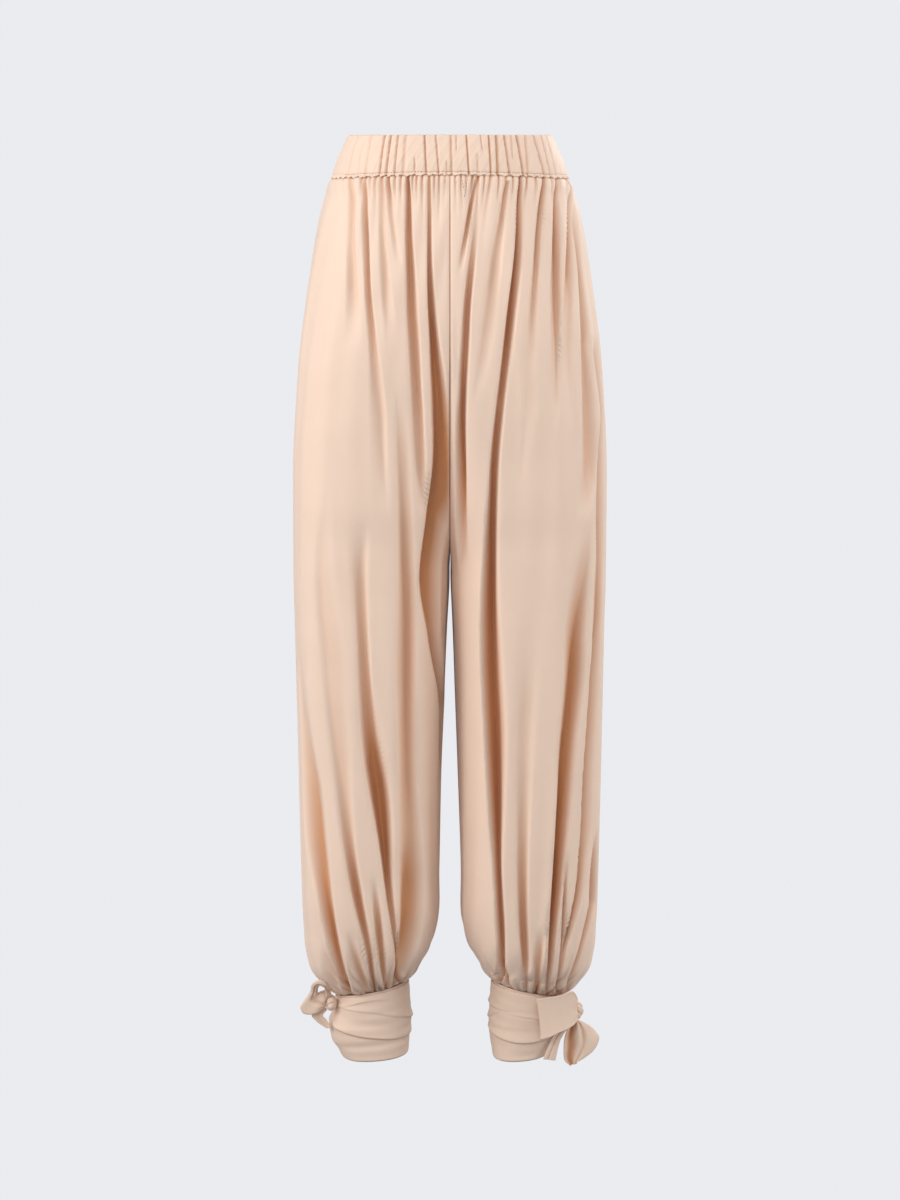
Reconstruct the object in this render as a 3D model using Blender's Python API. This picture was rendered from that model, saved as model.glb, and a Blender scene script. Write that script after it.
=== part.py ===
# Trousers with very full legs. The legs are gathered into a ruched waistband at the
# top and into ankle cuffs at the bottom. A tie winds round each cuff and closes in a
# knot on its outer side.
#
# Sizes are millimetres about the middle of the waist opening, and "drop" is the
# distance below it. The front faces -Y and the wearer's left is +X. Every cloth piece
# is a wall: its outer points are worked out first, then moved in by its thickness.

import math

import bmesh
import bpy
import numpy as np
from mathutils import Matrix, Vector

MM = 0.001
COLLECTION = "full_leg_trousers"

# Cloth, seams and outlines
CLOTH_WALL = 1.5
BAND_WALL = 2.4
TIE_WALL = 1.6
SEAM_GAP = 0.3
ROUNDNESS = 2.2
OUTLINE_SAMPLES = 241
EDGE_CALM = 9.0

# Drop of the main seams
BAND_TOP = -24.5
BAND_SEAM = 23.7
CROTCH = 452.0
CUFF_SEAM = 957.0

# One leg from the waist seam to the cuff seam. Across the width, "axis" is the middle
# of the leg, "outer" and "inner" are its edges, and a negative "inner" is how far the
# rounded section would run past the centre line, where the two halves are sewn together.
# "front" and "back" are depths from "middle". "slant" raises the inner side.
SECTION_COLUMNS = ("drop", "axis", "outer", "inner", "front", "back", "middle", "slant")
SECTIONS = (
    (BAND_SEAM + SEAM_GAP, 0, 134, -134, 96, 100, 0, 0),
    (50, 3, 143.5, -136, 106, 112, 0, 0),
    (84, 8, 151.5, -128, 114, 123, 0, 0),
    (120, 14, 157.5, -116, 119, 131, 0, 0),
    (165, 24, 164, -95, 122, 135, 0, 0),
    (220, 38, 170.5, -70, 122, 134, 0, 0),
    (278, 54, 174.5, -46, 119, 130, 0, 0),
    (335, 68, 177.5, -28, 116, 126, 1, 0),
    (390, 80, 178, -12.5, 113, 122, 1, 0),
    (430, 87, 178, -4, 110, 119, 2, 0),
    (CROTCH, 89, 178, 0.4, 109, 117, 2, 0),
    (485, 90, 178, 1.5, 108, 115, 3, 0),
    (530, 91, 177, 4, 107, 113, 4, 0),
    (620, 91.5, 175.5, 7.5, 104, 110, 6, 0),
    (740, 92, 173, 11.2, 99, 105, 9, 0),
    (820, 92, 171, 12.8, 95, 101, 11, 0),
    (880, 92, 169, 14.5, 89, 95, 12, 0),
    (910, 92, 166.5, 22, 83, 88, 12, 2),
    (930, 91.5, 160, 31, 74, 78, 12, 5),
    (945, 91, 146, 38.5, 61, 64, 12, 7.5),
    (CUFF_SEAM, 90.5, 132.4, 48.6, 46.8, 48.8, 12, 9),
)

# Rows and columns of a leg panel. Three columns make one gather.
PANEL_ROWS = (
    BAND_SEAM + SEAM_GAP, 48, 90, 150, 225, 300, 370, 420, CROTCH,
    530, 630, 730, 820, 885, 922, 942, CUFF_SEAM,
)
GATHER_COLUMNS = 3
FRONT_GATHERS = 14
BACK_GATHERS = 10
CROWDING = 5.0
FOLD_MERGE = 2.5

# Gathers: their height at the waist seam and the cuff seam, and how far they reach
WAIST_GATHER = 3.2
WAIST_GATHER_REACH = 42.0
CUFF_GATHER = 4.0
CUFF_GATHER_REACH = 48.0
GATHER_UNEVEN = 0.35
WAIST_BEAT = 2.4
CUFF_BEAT = 1.7
# The share of every fold and gather that is left at a seam, and where it is whole again
SEAM_HOLD = 0.22
SEAM_RELEASE = 16.0

# Folds of each panel. A fold runs from drop "top" to drop "bottom" through five evenly
# spaced distances from the centre line. Its depth is given at its top, middle and
# bottom, and its two flanks are as wide as "inner" and "outer" say.
FOLD_COLUMNS = (
    "top", "bottom", "x1", "x2", "x3", "x4", "x5", "deep1", "deep2", "deep3", "inner", "outer",
)
FRONT_RIGHT_FOLDS = (
    (24, 208, 112, 112, 112, 111, 111, 5, 3.5, 0, 8, 9),
    (24, 403, 95, 93, 89, 79, 71, 8.5, 8.5, 0, 18, 8),
    (24, 213, 78, 78, 77, 73, 70, 5, 6, 0, 9, 9),
    (24, 124, 69, 68, 65, 62, 58, 6, 5, 0, 8, 8),
    (24, 358, 47, 46, 43, 38, 34, 15.5, 11, 2.5, 9, 11),
    (24, 596, 24, 23, 16, 17, 8, 15.5, 18, 2.5, 18, 8),
    (258, CUFF_SEAM, 60, 53, 50, 49, 48, 0, 11, 11, 8, 24),
    (403, CUFF_SEAM, 102, 100, 89, 71, 58, 0, 12, 12, 16, 14),
    (539, CUFF_SEAM, 161, 155, 150, 136, 110, 0, 7, 11, 12, 12),
    (539, CUFF_SEAM, 140, 132, 121, 103, 85, 0, 7, 12.5, 12, 11),
    (813, CUFF_SEAM, 89, 85, 80, 75, 71, 0, 7, 8.5, 8, 8),
)
FRONT_LEFT_FOLDS = (
    (24, 130, 28, 24, 19, 14, 8, 11, 12.5, 0, 8, 9),
    (40, 465, 30, 20, 14, 13, 15, 5, 17, 0, 9, 14),
    (30, 269, 60, 54, 47, 38, 27, 8.5, 6, 0, 9, 10),
    (24, CUFF_SEAM, 78, 57, 43, 54, 62, 9.5, 19, 12.5, 9, 22),
    (24, 269, 102, 99, 92, 87, 81, 9, 7, 0, 10, 10),
    (24, 302, 114, 115, 116, 116, 116, 6, 6, 0, 7, 7),
    (24, 302, 127, 131, 131, 133, 136, 6, 6, 0, 7, 7),
    (58, 403, 141, 146, 152, 154, 150, 0, 6, 0, 9, 9),
    (403, CUFF_SEAM, 152, 140, 126, 118, 107, 0, 15.5, 12.5, 8, 18),
    (202, CUFF_SEAM, 167, 167, 160, 148, 124, 0, 12.5, 11, 8, 20),
    (494, CUFF_SEAM, 94, 81, 80, 80, 84, 0, 5, 8.5, 12, 12),
    (767, CUFF_SEAM, 165, 163, 161, 154, 131, 0, 7, 7, 8, 8),
    (813, CUFF_SEAM, 22, 27, 34, 42, 53, 0, 6, 8.5, 8, 8),
)
BACK_RIGHT_FOLDS = (
    (24, 330, 30, 32, 30, 24, 16, 12.5, 14, 0, 12, 9),
    (24, 250, 58, 61, 63, 62, 58, 8.5, 7, 0, 9, 9),
    (24, 520, 92, 98, 104, 102, 96, 11, 12.5, 0, 9, 18),
    (24, 300, 118, 126, 133, 137, 138, 7, 6, 0, 9, 9),
    (280, CUFF_SEAM, 46, 50, 56, 60, 64, 0, 17, 12.5, 22, 9),
    (430, CUFF_SEAM, 128, 124, 114, 103, 90, 0, 14, 12.5, 9, 18),
    (560, CUFF_SEAM, 156, 153, 147, 134, 114, 0, 8.5, 11, 10, 12),
)
BACK_LEFT_FOLDS = (
    (24, 300, 24, 27, 27, 22, 14, 11, 12.5, 0, 9, 12),
    (24, 560, 66, 70, 76, 74, 66, 12.5, 15.5, 0, 18, 9),
    (24, 230, 88, 92, 96, 97, 96, 7, 6, 0, 9, 9),
    (24, 330, 112, 121, 130, 134, 134, 8.5, 8.5, 0, 9, 10),
    (250, CUFF_SEAM, 146, 143, 132, 118, 98, 0, 15.5, 12.5, 10, 20),
    (380, CUFF_SEAM, 38, 38, 44, 52, 60, 0, 14, 11, 9, 20),
    (600, CUFF_SEAM, 160, 158, 152, 142, 120, 0, 8.5, 11, 10, 10),
)

# Waistband: its half width and depths by drop, and the pleats that cross its front, by
# their distance from the centre line at mid height
BAND_COLUMNS = ("drop", "width", "front", "back")
BAND_SECTIONS = (
    (BAND_TOP, 115, 82, 84),
    (-10, 121.5, 87, 90),
    (5, 128, 92, 95),
    (BAND_SEAM, 134, 96, 100),
)
BAND_ROWS = (BAND_TOP, -9, 8, BAND_SEAM)
BAND_FRONT_PLEATS = (
    (-103, 1.2), (-88, 1.6), (-72, 2.4), (-60, 2.6), (-47, 1.8), (-37, 1.8), (-26, 2.6),
    (-14, 2.0), (-3, 2.6), (7, 1.8), (19, 2.4), (28, 1.8), (37, 2.0), (46, 2.6), (59, 2.6),
    (67, 2.0), (76, 2.4), (84, 2.0), (94, 2.6), (105, 2.0),
)
BAND_BACK_PLEATS = 20
BAND_BACK_SPREAD = 107.0
BAND_BACK_DRIFT = 2.5
BAND_BACK_BEAT = 5.0
BAND_PLEAT_DEPTH = 2.2
SAME_PLACE = 1e-6

# Ankle cuffs, and the tie wound round them. The hems dip towards the outer side on the
# right ankle and towards the inner side on the left one.
CUFF_COLUMNS = ("drop", "inner", "outer", "front", "back", "slant")
CUFF_SECTIONS = {
    "right": (
        (CUFF_SEAM + SEAM_GAP, 49.5, 131.5, 46, 48, 9),
        (978, 48, 134, 46, 48, 6),
        (1000, 46.5, 139.5, 45.5, 47, 3),
        (1018, 48, 136, 44, 46, 2.5),
        (1039.5, 50.5, 122.5, 42, 44, 3.4),
    ),
    "left": (
        (CUFF_SEAM + SEAM_GAP, 49.5, 131.5, 46, 48, 9),
        (978, 48, 134, 46, 48, 6),
        (1000, 46.5, 136, 45.5, 47, 2),
        (1018, 47.5, 130, 44, 46, 0),
        (1038.5, 52, 114, 42, 44, -4),
    ),
}
CUFF_MIDDLE = 12
CUFF_AROUND = 36
SLANT_AXIS = 90.5
SLANT_HALF = 45
TIE_ROWS = (967, 978, 989, 1000, 1009, 1018, 1028)
# Edges of the tie's turns, by their drop at eight even steps round the ankle: outer side,
# front of it, front, inner front, inner side, inner back, back and outer back. Each turn
# swells down to its edge, and the edges draw together at the knot.
TIE_EDGES = {
    "right": (
        (970, 973, 981, 990, 996, 992, 984, 975),
        (992, 1001, 1011, 1014, 1013, 1010, 1003, 996),
    ),
    "left": (
        (974, 978, 982, 984, 985, 983, 980, 976),
        (1000, 1008, 1017, 1012, 1006, 1006, 1004, 1001),
    ),
}
TIE_SWELL = 1.8
TIE_TURN_HEIGHT = 18.0

# Knots: where they sit round the cuff (degrees from straight outwards, turned to the
# front), their drop, their half sizes outwards, along the cuff and upwards, and how far
# they stand off the cuff
KNOT_COLUMNS = ("turn", "drop", "outwards", "along", "upwards", "stand")
RIGHT_KNOT = (26, 973, 7, 9, 9.5, 2.6)
LEFT_KNOT = (20, 983, 11, 10, 12, 1.6)
KNOT_WAIST = 0.14
KNOT_SEGMENTS = 14
KNOT_RINGS = 9

# Loops and tails of the ties. Each row is one crossing of the strip, as its two edge
# points measured from the knot's middle: along +X away from the leg, +Y to the back, +Z up.
STRIP_COLUMNS = ("ax", "ay", "az", "bx", "by", "bz")
RIGHT_LOOP = (
    (2.4, -5, 7.7, -1.9, -4.4, 9.1),
    (5.5, -16, 20, 4, -20.5, 27.5),
    (11, -17, 24, 13, -22, 31.5),
    (14, -13, 20.5, 21, -15, 25.5),
    (14.5, -9, 15.5, 23.5, -8, 15.5),
    (14, -9, 12, 29.5, -5, 5.5),
    (11.5, -9, 8, 35, -5, -4),
    (10, -10, 6, 31, -5, -12),
    (8.5, -9, 4, 19, -6, -12),
    (5.7, -5.4, 0.5, 6.6, -3.3, -4.4),
)
RIGHT_TAIL = (
    (6.5, 0.5, -5.4, 4.1, 1.1, -8.9),
    (22, 0, -14, 9, 0, -15),
    (17, 0, -22, 5, -1, -20),
    (11, 0, -27, 1.5, -2, -25),
    (6, 0, -30.5, 0.5, -2.5, -30),
)
LEFT_LOOP = (
    (-3.5, -7.9, 7.6, -4.2, -9.8, -0.5),
    (-15.5, -19, 15.5, -14.5, -19, -10.5),
    (-29.5, -26, 17.5, -27, -25, -19),
    (-40.5, -30, 17.5, -36.5, -29, -25.5),
    (-45, -33, 20, -40, -32.5, -27.5),
    (-34.5, -36, 22.5, -29, -35.5, -24),
    (-20.5, -34.5, 24.5, -18, -34, -19),
    (-10, -30, 26.5, -8, -29.5, -15.5),
    (-2, -24, 27.5, -0.5, -23, -12),
    (3.5, -18, 19, 4, -17.5, -6.5),
    (1.7, -9.2, 7.4, 2.1, -11.1, -0.4),
)
LEFT_TAIL = (
    (-2.5, -4.8, -11.7, 5.8, -1.5, -11.7),
    (-8, -10, -20, 17.5, -3, -17),
    (-11.5, -12, -30, 25, -5, -23.5),
    (-12.5, -13, -44, 29, -7, -32),
    (-11.5, -12, -56, 22, -9, -46),
    (-4.5, -11, -63.5, 6, -11, -58),
)
LEFT_SHORT_TAIL = (
    (-5.5, -6.8, -7.7, 0, -6.8, -8.9),
    (-16, -18, -15, -6, -16, -16.5),
    (-25, -20, -26.5, -14, -18, -26),
    (-30.5, -20, -38, -18, -18, -37),
    (-36.5, -20, -53, -22, -18, -55),
)
LOOP_STEPS = 21
TAIL_STEPS = 11
SHORT_TAIL_STEPS = 7
SIDE_SIGN = {"right": -1, "left": 1}

# Colours
CLOTH_COLOUR = (0.83, 0.60, 0.46, 1.0)
SHADE_BY_PIECE = {
    "waistband": 1.0,
    "panel": 0.97,
    "cuff": 0.92,
    "tie": 0.9,
}
CLOTH_ROUGHNESS = 0.62
SHARP_RIM = math.radians(50)


def smooth(stations, values, at):
    """A smooth curve through the values at their stations, read at one or more places."""
    stations = np.asarray(stations, float)
    values = np.asarray(values, float)
    slopes = np.gradient(values, stations)
    at = np.clip(at, stations[0], stations[-1])
    low = np.clip(np.searchsorted(stations, at) - 1, 0, len(stations) - 2)
    span = stations[low + 1] - stations[low]
    t = (at - stations[low]) / span
    start = (2 * t**3 - 3 * t**2 + 1) * values[low] + (t**3 - 2 * t**2 + t) * span * slopes[low]
    end = (3 * t**2 - 2 * t**3) * values[low + 1] + (t**3 - t**2) * span * slopes[low + 1]
    return start + end


def read(table, columns, drop):
    """Every column of a table at one drop, by name."""
    rows = np.asarray(table, float)
    return {
        name: float(smooth(rows[:, 0], rows[:, number], drop))
        for number, name in enumerate(columns)
    }


def bulge(cosine):
    """Round a cosine or sine out to the sections' fuller curve."""
    return np.sign(cosine) * np.abs(cosine) ** (2 / ROUNDNESS)


def ease(share):
    """Rise smoothly from 0 to 1."""
    share = np.clip(share, 0, 1)
    return share * share * (3 - 2 * share)


def leg_outline(drop, face):
    """Half of a leg's section, from its inner edge to its outer one: x, y and run."""
    size = read(SECTIONS, SECTION_COLUMNS, drop)
    start = 0.0
    inner_half = size["axis"] - size["inner"]
    if drop < CROTCH:
        crossing = max(size["axis"] - SEAM_GAP / 2, 0) / inner_half
        start = math.acos(min(crossing, 1) ** (ROUNDNESS / 2))
    turn = np.linspace(start, math.pi, OUTLINE_SAMPLES)
    half = np.where(np.cos(turn) > 0, inner_half, size["outer"] - size["axis"])
    x = size["axis"] - half * bulge(np.cos(turn))
    depth = -size["front"] if face == "front" else size["back"]
    y = size["middle"] + depth * bulge(np.sin(turn))
    steps = np.hypot(np.diff(x), np.diff(y))
    run = np.concatenate(([0], np.cumsum(steps)))
    return np.maximum(x, SEAM_GAP / 2), y, run, size


def seam_height(drop, slant, x):
    """Height of a row at x: the rows near the cuff slope down towards the outer side."""
    return -drop + slant * (SLANT_AXIS - x) / SLANT_HALF


def fold_depth(folds, drop, run, x):
    """How far the folds push each point of one row inwards."""
    total = np.zeros_like(run)
    for fold in folds:
        row = dict(zip(FOLD_COLUMNS, fold))
        if not row["top"] <= drop <= row["bottom"]:
            continue
        share = (drop - row["top"]) / (row["bottom"] - row["top"])
        place = smooth((0, 0.25, 0.5, 0.75, 1), [row[f"x{n}"] for n in range(1, 6)], share)
        deep = smooth((0, 0.5, 1), [row[f"deep{n}"] for n in range(1, 4)], share)
        away = run - np.interp(place, x, run)
        reach = np.abs(away) / np.where(away < 0, row["inner"], row["outer"])
        profile = (1 + np.cos(np.pi * np.clip(reach, 0, 1))) / 2
        total += (max(deep, 0) * profile) ** FOLD_MERGE
    return total ** (1 / FOLD_MERGE)


def gather_height(count, share, drop):
    """The gathers' height at each column, at the waist and at the cuff."""
    number = np.floor(count * share)
    wave = (1 - np.cos(2 * np.pi * count * share)) / 2
    size = 1 - GATHER_UNEVEN * (1 + np.sin(WAIST_BEAT * number)) / 2
    reach = 1 - GATHER_UNEVEN * (1 + np.cos(CUFF_BEAT * number)) / 2
    waist = np.exp(-(((drop - BAND_SEAM) / (WAIST_GATHER_REACH * reach)) ** 2))
    cuff = np.exp(-(((CUFF_SEAM - drop) / (CUFF_GATHER_REACH * reach)) ** 2))
    return size * wave * (WAIST_GATHER * waist + CUFF_GATHER * cuff)


def seam_hold(drop):
    """How freely the cloth folds at a drop: held flat at the waist and cuff seams."""
    release = min(drop - BAND_SEAM - SEAM_GAP, CUFF_SEAM - drop) / SEAM_RELEASE
    return SEAM_HOLD + (1 - SEAM_HOLD) * ease(release)


def panel_row(face, folds, gathers, drop):
    """One row of a leg panel: its outer points and the directions out of the leg."""
    x, y, run, size = leg_outline(drop, face)
    deep = fold_depth(folds, drop, run, x)
    weight = np.concatenate(([0], np.cumsum(np.diff(run) * (1 + deep[1:] / CROWDING))))
    share = np.linspace(0, 1, gathers * GATHER_COLUMNS + 1)
    at = np.interp(share, weight / weight[-1], run)
    trim = SEAM_GAP / 2
    at = np.clip(at, trim if drop >= CROTCH else 0, run[-1] - trim)

    turned = 1 if face == "front" else -1
    out_x = turned * np.interp(at, run, np.gradient(y, run))
    out_y = -turned * np.interp(at, run, np.gradient(x, run))
    calm = ease(at / EDGE_CALM) * ease((run[-1] - at) / EDGE_CALM)
    push = gather_height(gathers, share, drop) - np.interp(at, run, deep)
    push *= calm * seam_hold(drop)

    px = np.interp(at, run, x) + out_x * push
    py = np.interp(at, run, y) + out_y * push
    pz = seam_height(drop, size["slant"], px)
    return np.stack((px, py, pz), 1), np.stack((out_x, out_y, np.zeros_like(px)), 1)


def outward_normals(points, outward):
    """Unit normals of a grid of points, on the side that the outward directions face."""
    down = np.gradient(points, axis=0)
    across = np.gradient(points, axis=1)
    normals = np.cross(across, down)
    normals *= np.sign(np.sum(normals * outward, axis=2, keepdims=True))
    return normals


def unit(vectors):
    """Vectors scaled to length 1."""
    return vectors / np.linalg.norm(vectors, axis=-1, keepdims=True)


def add_wall(name, outer, inner, closed, shade):
    """One closed solid between two grids of points, as an object in the collection."""
    rows, columns = outer.shape[:2]
    mesh = bpy.data.meshes.new(name)
    shape = bmesh.new()
    layers = [
        [[shape.verts.new(Vector(point) * MM) for point in row] for row in grid]
        for grid in (outer, inner)
    ]
    across = [(c, (c + 1) % columns) for c in range(columns if closed else columns - 1)]
    for layer in layers:
        for r in range(rows - 1):
            for c, d in across:
                shape.faces.new((layer[r][c], layer[r][d], layer[r + 1][d], layer[r + 1][c]))
    front, back = layers
    for r in (0, rows - 1):
        for c, d in across:
            shape.faces.new((front[r][c], front[r][d], back[r][d], back[r][c]))
    for c in () if closed else (0, columns - 1):
        for r in range(rows - 1):
            shape.faces.new((front[r][c], front[r + 1][c], back[r + 1][c], back[r][c]))
    bmesh.ops.recalc_face_normals(shape, faces=shape.faces)
    shape.to_mesh(mesh)
    shape.free()
    return add_object(name, mesh, shade)


def add_object(name, mesh, shade):
    """An object with its own cloth material, shaded smooth with sharp rims."""
    mesh.shade_smooth()
    mesh.set_sharp_from_angle(angle=SHARP_RIM)
    material = bpy.data.materials.new(name + "_cloth")
    material.use_nodes = True
    shader = material.node_tree.nodes["Principled BSDF"]
    tone = SHADE_BY_PIECE[shade]
    shader.inputs["Base Color"].default_value = [c * tone for c in CLOTH_COLOUR[:3]] + [1]
    shader.inputs["Roughness"].default_value = CLOTH_ROUGHNESS
    shader.inputs["Metallic"].default_value = 0
    mesh.materials.append(material)
    thing = bpy.data.objects.new(name, mesh)
    bpy.data.collections[COLLECTION].objects.link(thing)
    return thing


def add_panel(side, face, folds, gathers):
    """A leg panel: centre seam and inseam on one edge, outseam on the other."""
    rows = [panel_row(face, folds, gathers, drop) for drop in PANEL_ROWS]
    outer = np.array([points for points, _ in rows])
    normals = outward_normals(outer, np.array([out for _, out in rows]))
    # The edges stay square to their seams, so that neighbours keep the seam's gap.
    normals[(0, -1), :, 2] = 0
    normals[:, -1, 1] = 0
    below = np.array(PANEL_ROWS) >= CROTCH
    normals[below, 0, 1] = 0
    inner = outer - CLOTH_WALL * unit(normals)
    inner[:, :, 0] = np.maximum(inner[:, :, 0], SEAM_GAP / 2)
    inner[-1, :, 2] = seam_height(CUFF_SEAM, SECTIONS[-1][-1], inner[-1, :, 0])
    sign = SIDE_SIGN[side]
    mirror = np.array((sign, 1, 1))
    add_wall(f"{face}_panel_{side}", outer * mirror, inner * mirror, False, "panel")


def band_pleats(face):
    """The pleats of one half of the waistband: distance from the centre line and depth."""
    if face == "front":
        return BAND_FRONT_PLEATS
    spread = np.linspace(-BAND_BACK_SPREAD, BAND_BACK_SPREAD, BAND_BACK_PLEATS)
    return [
        (place + BAND_BACK_DRIFT * math.sin(BAND_BACK_BEAT * n), BAND_PLEAT_DEPTH)
        for n, place in enumerate(spread)
    ]


def band_outline(drop, face):
    """Half of the waistband's section, from the wearer's right to the left."""
    size = read(BAND_SECTIONS, BAND_COLUMNS, drop)
    turn = np.linspace(0, math.pi, OUTLINE_SAMPLES)
    depth = -size["front"] if face == "front" else size["back"]
    x = -size["width"] * bulge(np.cos(turn))
    y = depth * bulge(np.sin(turn))
    run = np.concatenate(([0], np.cumsum(np.hypot(np.diff(x), np.diff(y)))))
    return x, y, run


def add_waistband(face):
    """Half of the waistband, a doubled casing drawn into pleats by its elastic."""
    pleats = band_pleats(face)
    x, y, run = band_outline(0, face)
    valleys = np.interp([place for place, _ in pleats], x, run) / run[-1]
    depths = np.array([deep for _, deep in pleats])
    marks = np.concatenate(([0], valleys, [1]))
    share = np.unique([
        low + (high - low) * part / GATHER_COLUMNS
        for low, high in zip(marks[:-1], marks[1:])
        for part in range(GATHER_COLUMNS + 1)
    ])
    share = share[np.concatenate(([True], np.diff(share) > SAME_PLACE))]
    nearest = np.abs(share[:, None] - valleys[None, :])
    push = -np.where(nearest.min(axis=1) < SAME_PLACE, depths[nearest.argmin(axis=1)], 0)

    outer = []
    outward = []
    turned = 1 if face == "front" else -1
    for drop in BAND_ROWS:
        x, y, run = band_outline(drop, face)
        at = np.clip(share * run[-1], SEAM_GAP / 2, run[-1] - SEAM_GAP / 2)
        out_x = turned * np.interp(at, run, np.gradient(y, run))
        out_y = -turned * np.interp(at, run, np.gradient(x, run))
        px = np.interp(at, run, x) + out_x * push
        py = np.interp(at, run, y) + out_y * push
        outer.append(np.stack((px, py, np.full_like(px, -drop)), 1))
        outward.append(np.stack((out_x, out_y, np.zeros_like(px)), 1))
    outer = np.array(outer)
    normals = outward_normals(outer, np.array(outward))
    normals[(0, -1), :, 2] = 0
    normals[:, (0, -1), 1] = 0
    inner = outer - BAND_WALL * unit(normals)
    add_wall(f"waistband_{face}", outer, inner, False, "waistband")


def cuff_size(side, drop):
    """A cuff's sizes at one drop, straight between its sections as its faces are."""
    rows = np.array(CUFF_SECTIONS[side], float)
    return {
        name: float(np.interp(drop, rows[:, 0], rows[:, number]))
        for number, name in enumerate(CUFF_COLUMNS)
    }


def ring_turns():
    """Even turns round the ankle, from the outer side towards the back."""
    return np.linspace(0, 2 * np.pi, CUFF_AROUND, endpoint=False)


def cuff_ring(side, drop, outwards):
    """A closed ring round an ankle, as on the left leg, moved outwards by a distance."""
    size = cuff_size(side, drop)
    turn = ring_turns()
    across = bulge(np.cos(turn))
    along = bulge(np.sin(turn))
    width = (size["outer"] - size["inner"]) / 2
    depth = np.where(along < 0, size["front"], size["back"])
    out = unit(np.stack((across * depth, along * width), 1))
    x = (size["outer"] + size["inner"]) / 2 + width * across + outwards * out[:, 0]
    y = CUFF_MIDDLE + depth * along + outwards * out[:, 1]
    return np.stack((x, y, seam_height(drop, size["slant"], x)), 1)


def tie_swell(side, drop):
    """How far the wound tie swells at each point of a ring."""
    turn = ring_turns()
    swell = np.zeros(CUFF_AROUND)
    for edge in reversed(TIE_EDGES[side]):
        stations = -np.linspace(0, 2 * np.pi, len(edge), endpoint=False)
        line = np.interp(turn, stations, edge, period=2 * np.pi)
        share = 1 - np.clip((line - drop) / TIE_TURN_HEIGHT, 0, 1)
        swell = np.where(drop <= line, TIE_SWELL * share, swell)
    return swell


def add_ring_wall(name, side, outer, inner, shade):
    """A tube of cloth round one ankle, between two lists of rings."""
    mirror = np.array((SIDE_SIGN[side], 1, 1))
    add_wall(f"{name}_{side}", np.array(outer) * mirror, np.array(inner) * mirror, True, shade)


def add_cuff(side):
    """The plain tube of cloth that the leg is gathered into."""
    drops = sorted({row[0] for row in CUFF_SECTIONS[side]} | {TIE_ROWS[-1]})
    outer = [cuff_ring(side, drop, 0) for drop in drops]
    inner = [cuff_ring(side, drop, -CLOTH_WALL) for drop in drops]
    add_ring_wall("cuff", side, outer, inner, "cuff")


def add_wound_tie(side):
    """The tie wound round the cuff, each turn lapping over the one below."""
    inner = [cuff_ring(side, drop, SEAM_GAP) for drop in TIE_ROWS]
    outer = [
        cuff_ring(side, drop, SEAM_GAP + TIE_WALL + tie_swell(side, drop)) for drop in TIE_ROWS
    ]
    add_ring_wall("tie_wound", side, outer, inner, "tie")


def knot_middle(side, knot):
    """Where a knot's middle lies, so that it rests on the wound tie, and the way out."""
    size = dict(zip(KNOT_COLUMNS, knot))
    cuff = cuff_size(side, size["drop"])
    width = (cuff["outer"] - cuff["inner"]) / 2
    turn = math.radians(-size["turn"])
    across = float(bulge(math.cos(turn)))
    along = float(bulge(math.sin(turn)))
    out = Vector((across * cuff["front"], along * width, 0)).normalized()
    middle = Vector((cuff["inner"] + width + width * across, CUFF_MIDDLE + cuff["front"] * along, 0))
    middle += out * (size["stand"] + size["outwards"])
    middle.z = -size["drop"]
    return middle, out


def add_knot(side, knot):
    """A pulled-tight knot: a rounded lump with a waist where the strip crosses it."""
    size = dict(zip(KNOT_COLUMNS, knot))
    middle, out = knot_middle(side, knot)
    shape = bmesh.new()
    bmesh.ops.create_uvsphere(shape, u_segments=KNOT_SEGMENTS, v_segments=KNOT_RINGS, radius=1)
    along = Vector((0, 0, 1)).cross(out)
    frame = Matrix((out, along, Vector((0, 0, 1)))).transposed()
    for vert in shape.verts:
        waist = 1 - KNOT_WAIST * math.cos(math.pi * min(abs(vert.co.z), 1)) ** 2
        vert.co = Vector((
            vert.co.x * size["outwards"],
            vert.co.y * size["along"] * waist,
            vert.co.z * size["upwards"],
        ))
        vert.co = (frame @ vert.co + middle) * MM
        vert.co.x *= SIDE_SIGN[side]
    shape.normal_update()
    bmesh.ops.recalc_face_normals(shape, faces=shape.faces)
    mesh = bpy.data.meshes.new(f"tie_knot_{side}")
    shape.to_mesh(mesh)
    shape.free()
    add_object(f"tie_knot_{side}", mesh, "tie")


def add_strip(name, side, knot, table, steps):
    """A loop or tail of the tie: a strip of cloth between the table's edge points."""
    middle, _ = knot_middle(side, knot)
    rows = np.array(table, float)
    stations = np.linspace(0, 1, len(rows))
    along = np.linspace(0, 1, steps)
    edges = np.array([smooth(stations, rows[:, n], along) for n in range(len(STRIP_COLUMNS))])
    near = edges[:3].T + np.array(middle)
    far = edges[3:].T + np.array(middle)
    grid = np.stack((near, (near + far) / 2, far), 1)
    normals = unit(np.cross(np.gradient(grid, axis=0), np.gradient(grid, axis=1)))
    mirror = np.array((SIDE_SIGN[side], 1, 1))
    half = normals * TIE_WALL / 2
    add_wall(f"{name}_{side}", (grid + half) * mirror, (grid - half) * mirror, False, "tie")


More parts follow.
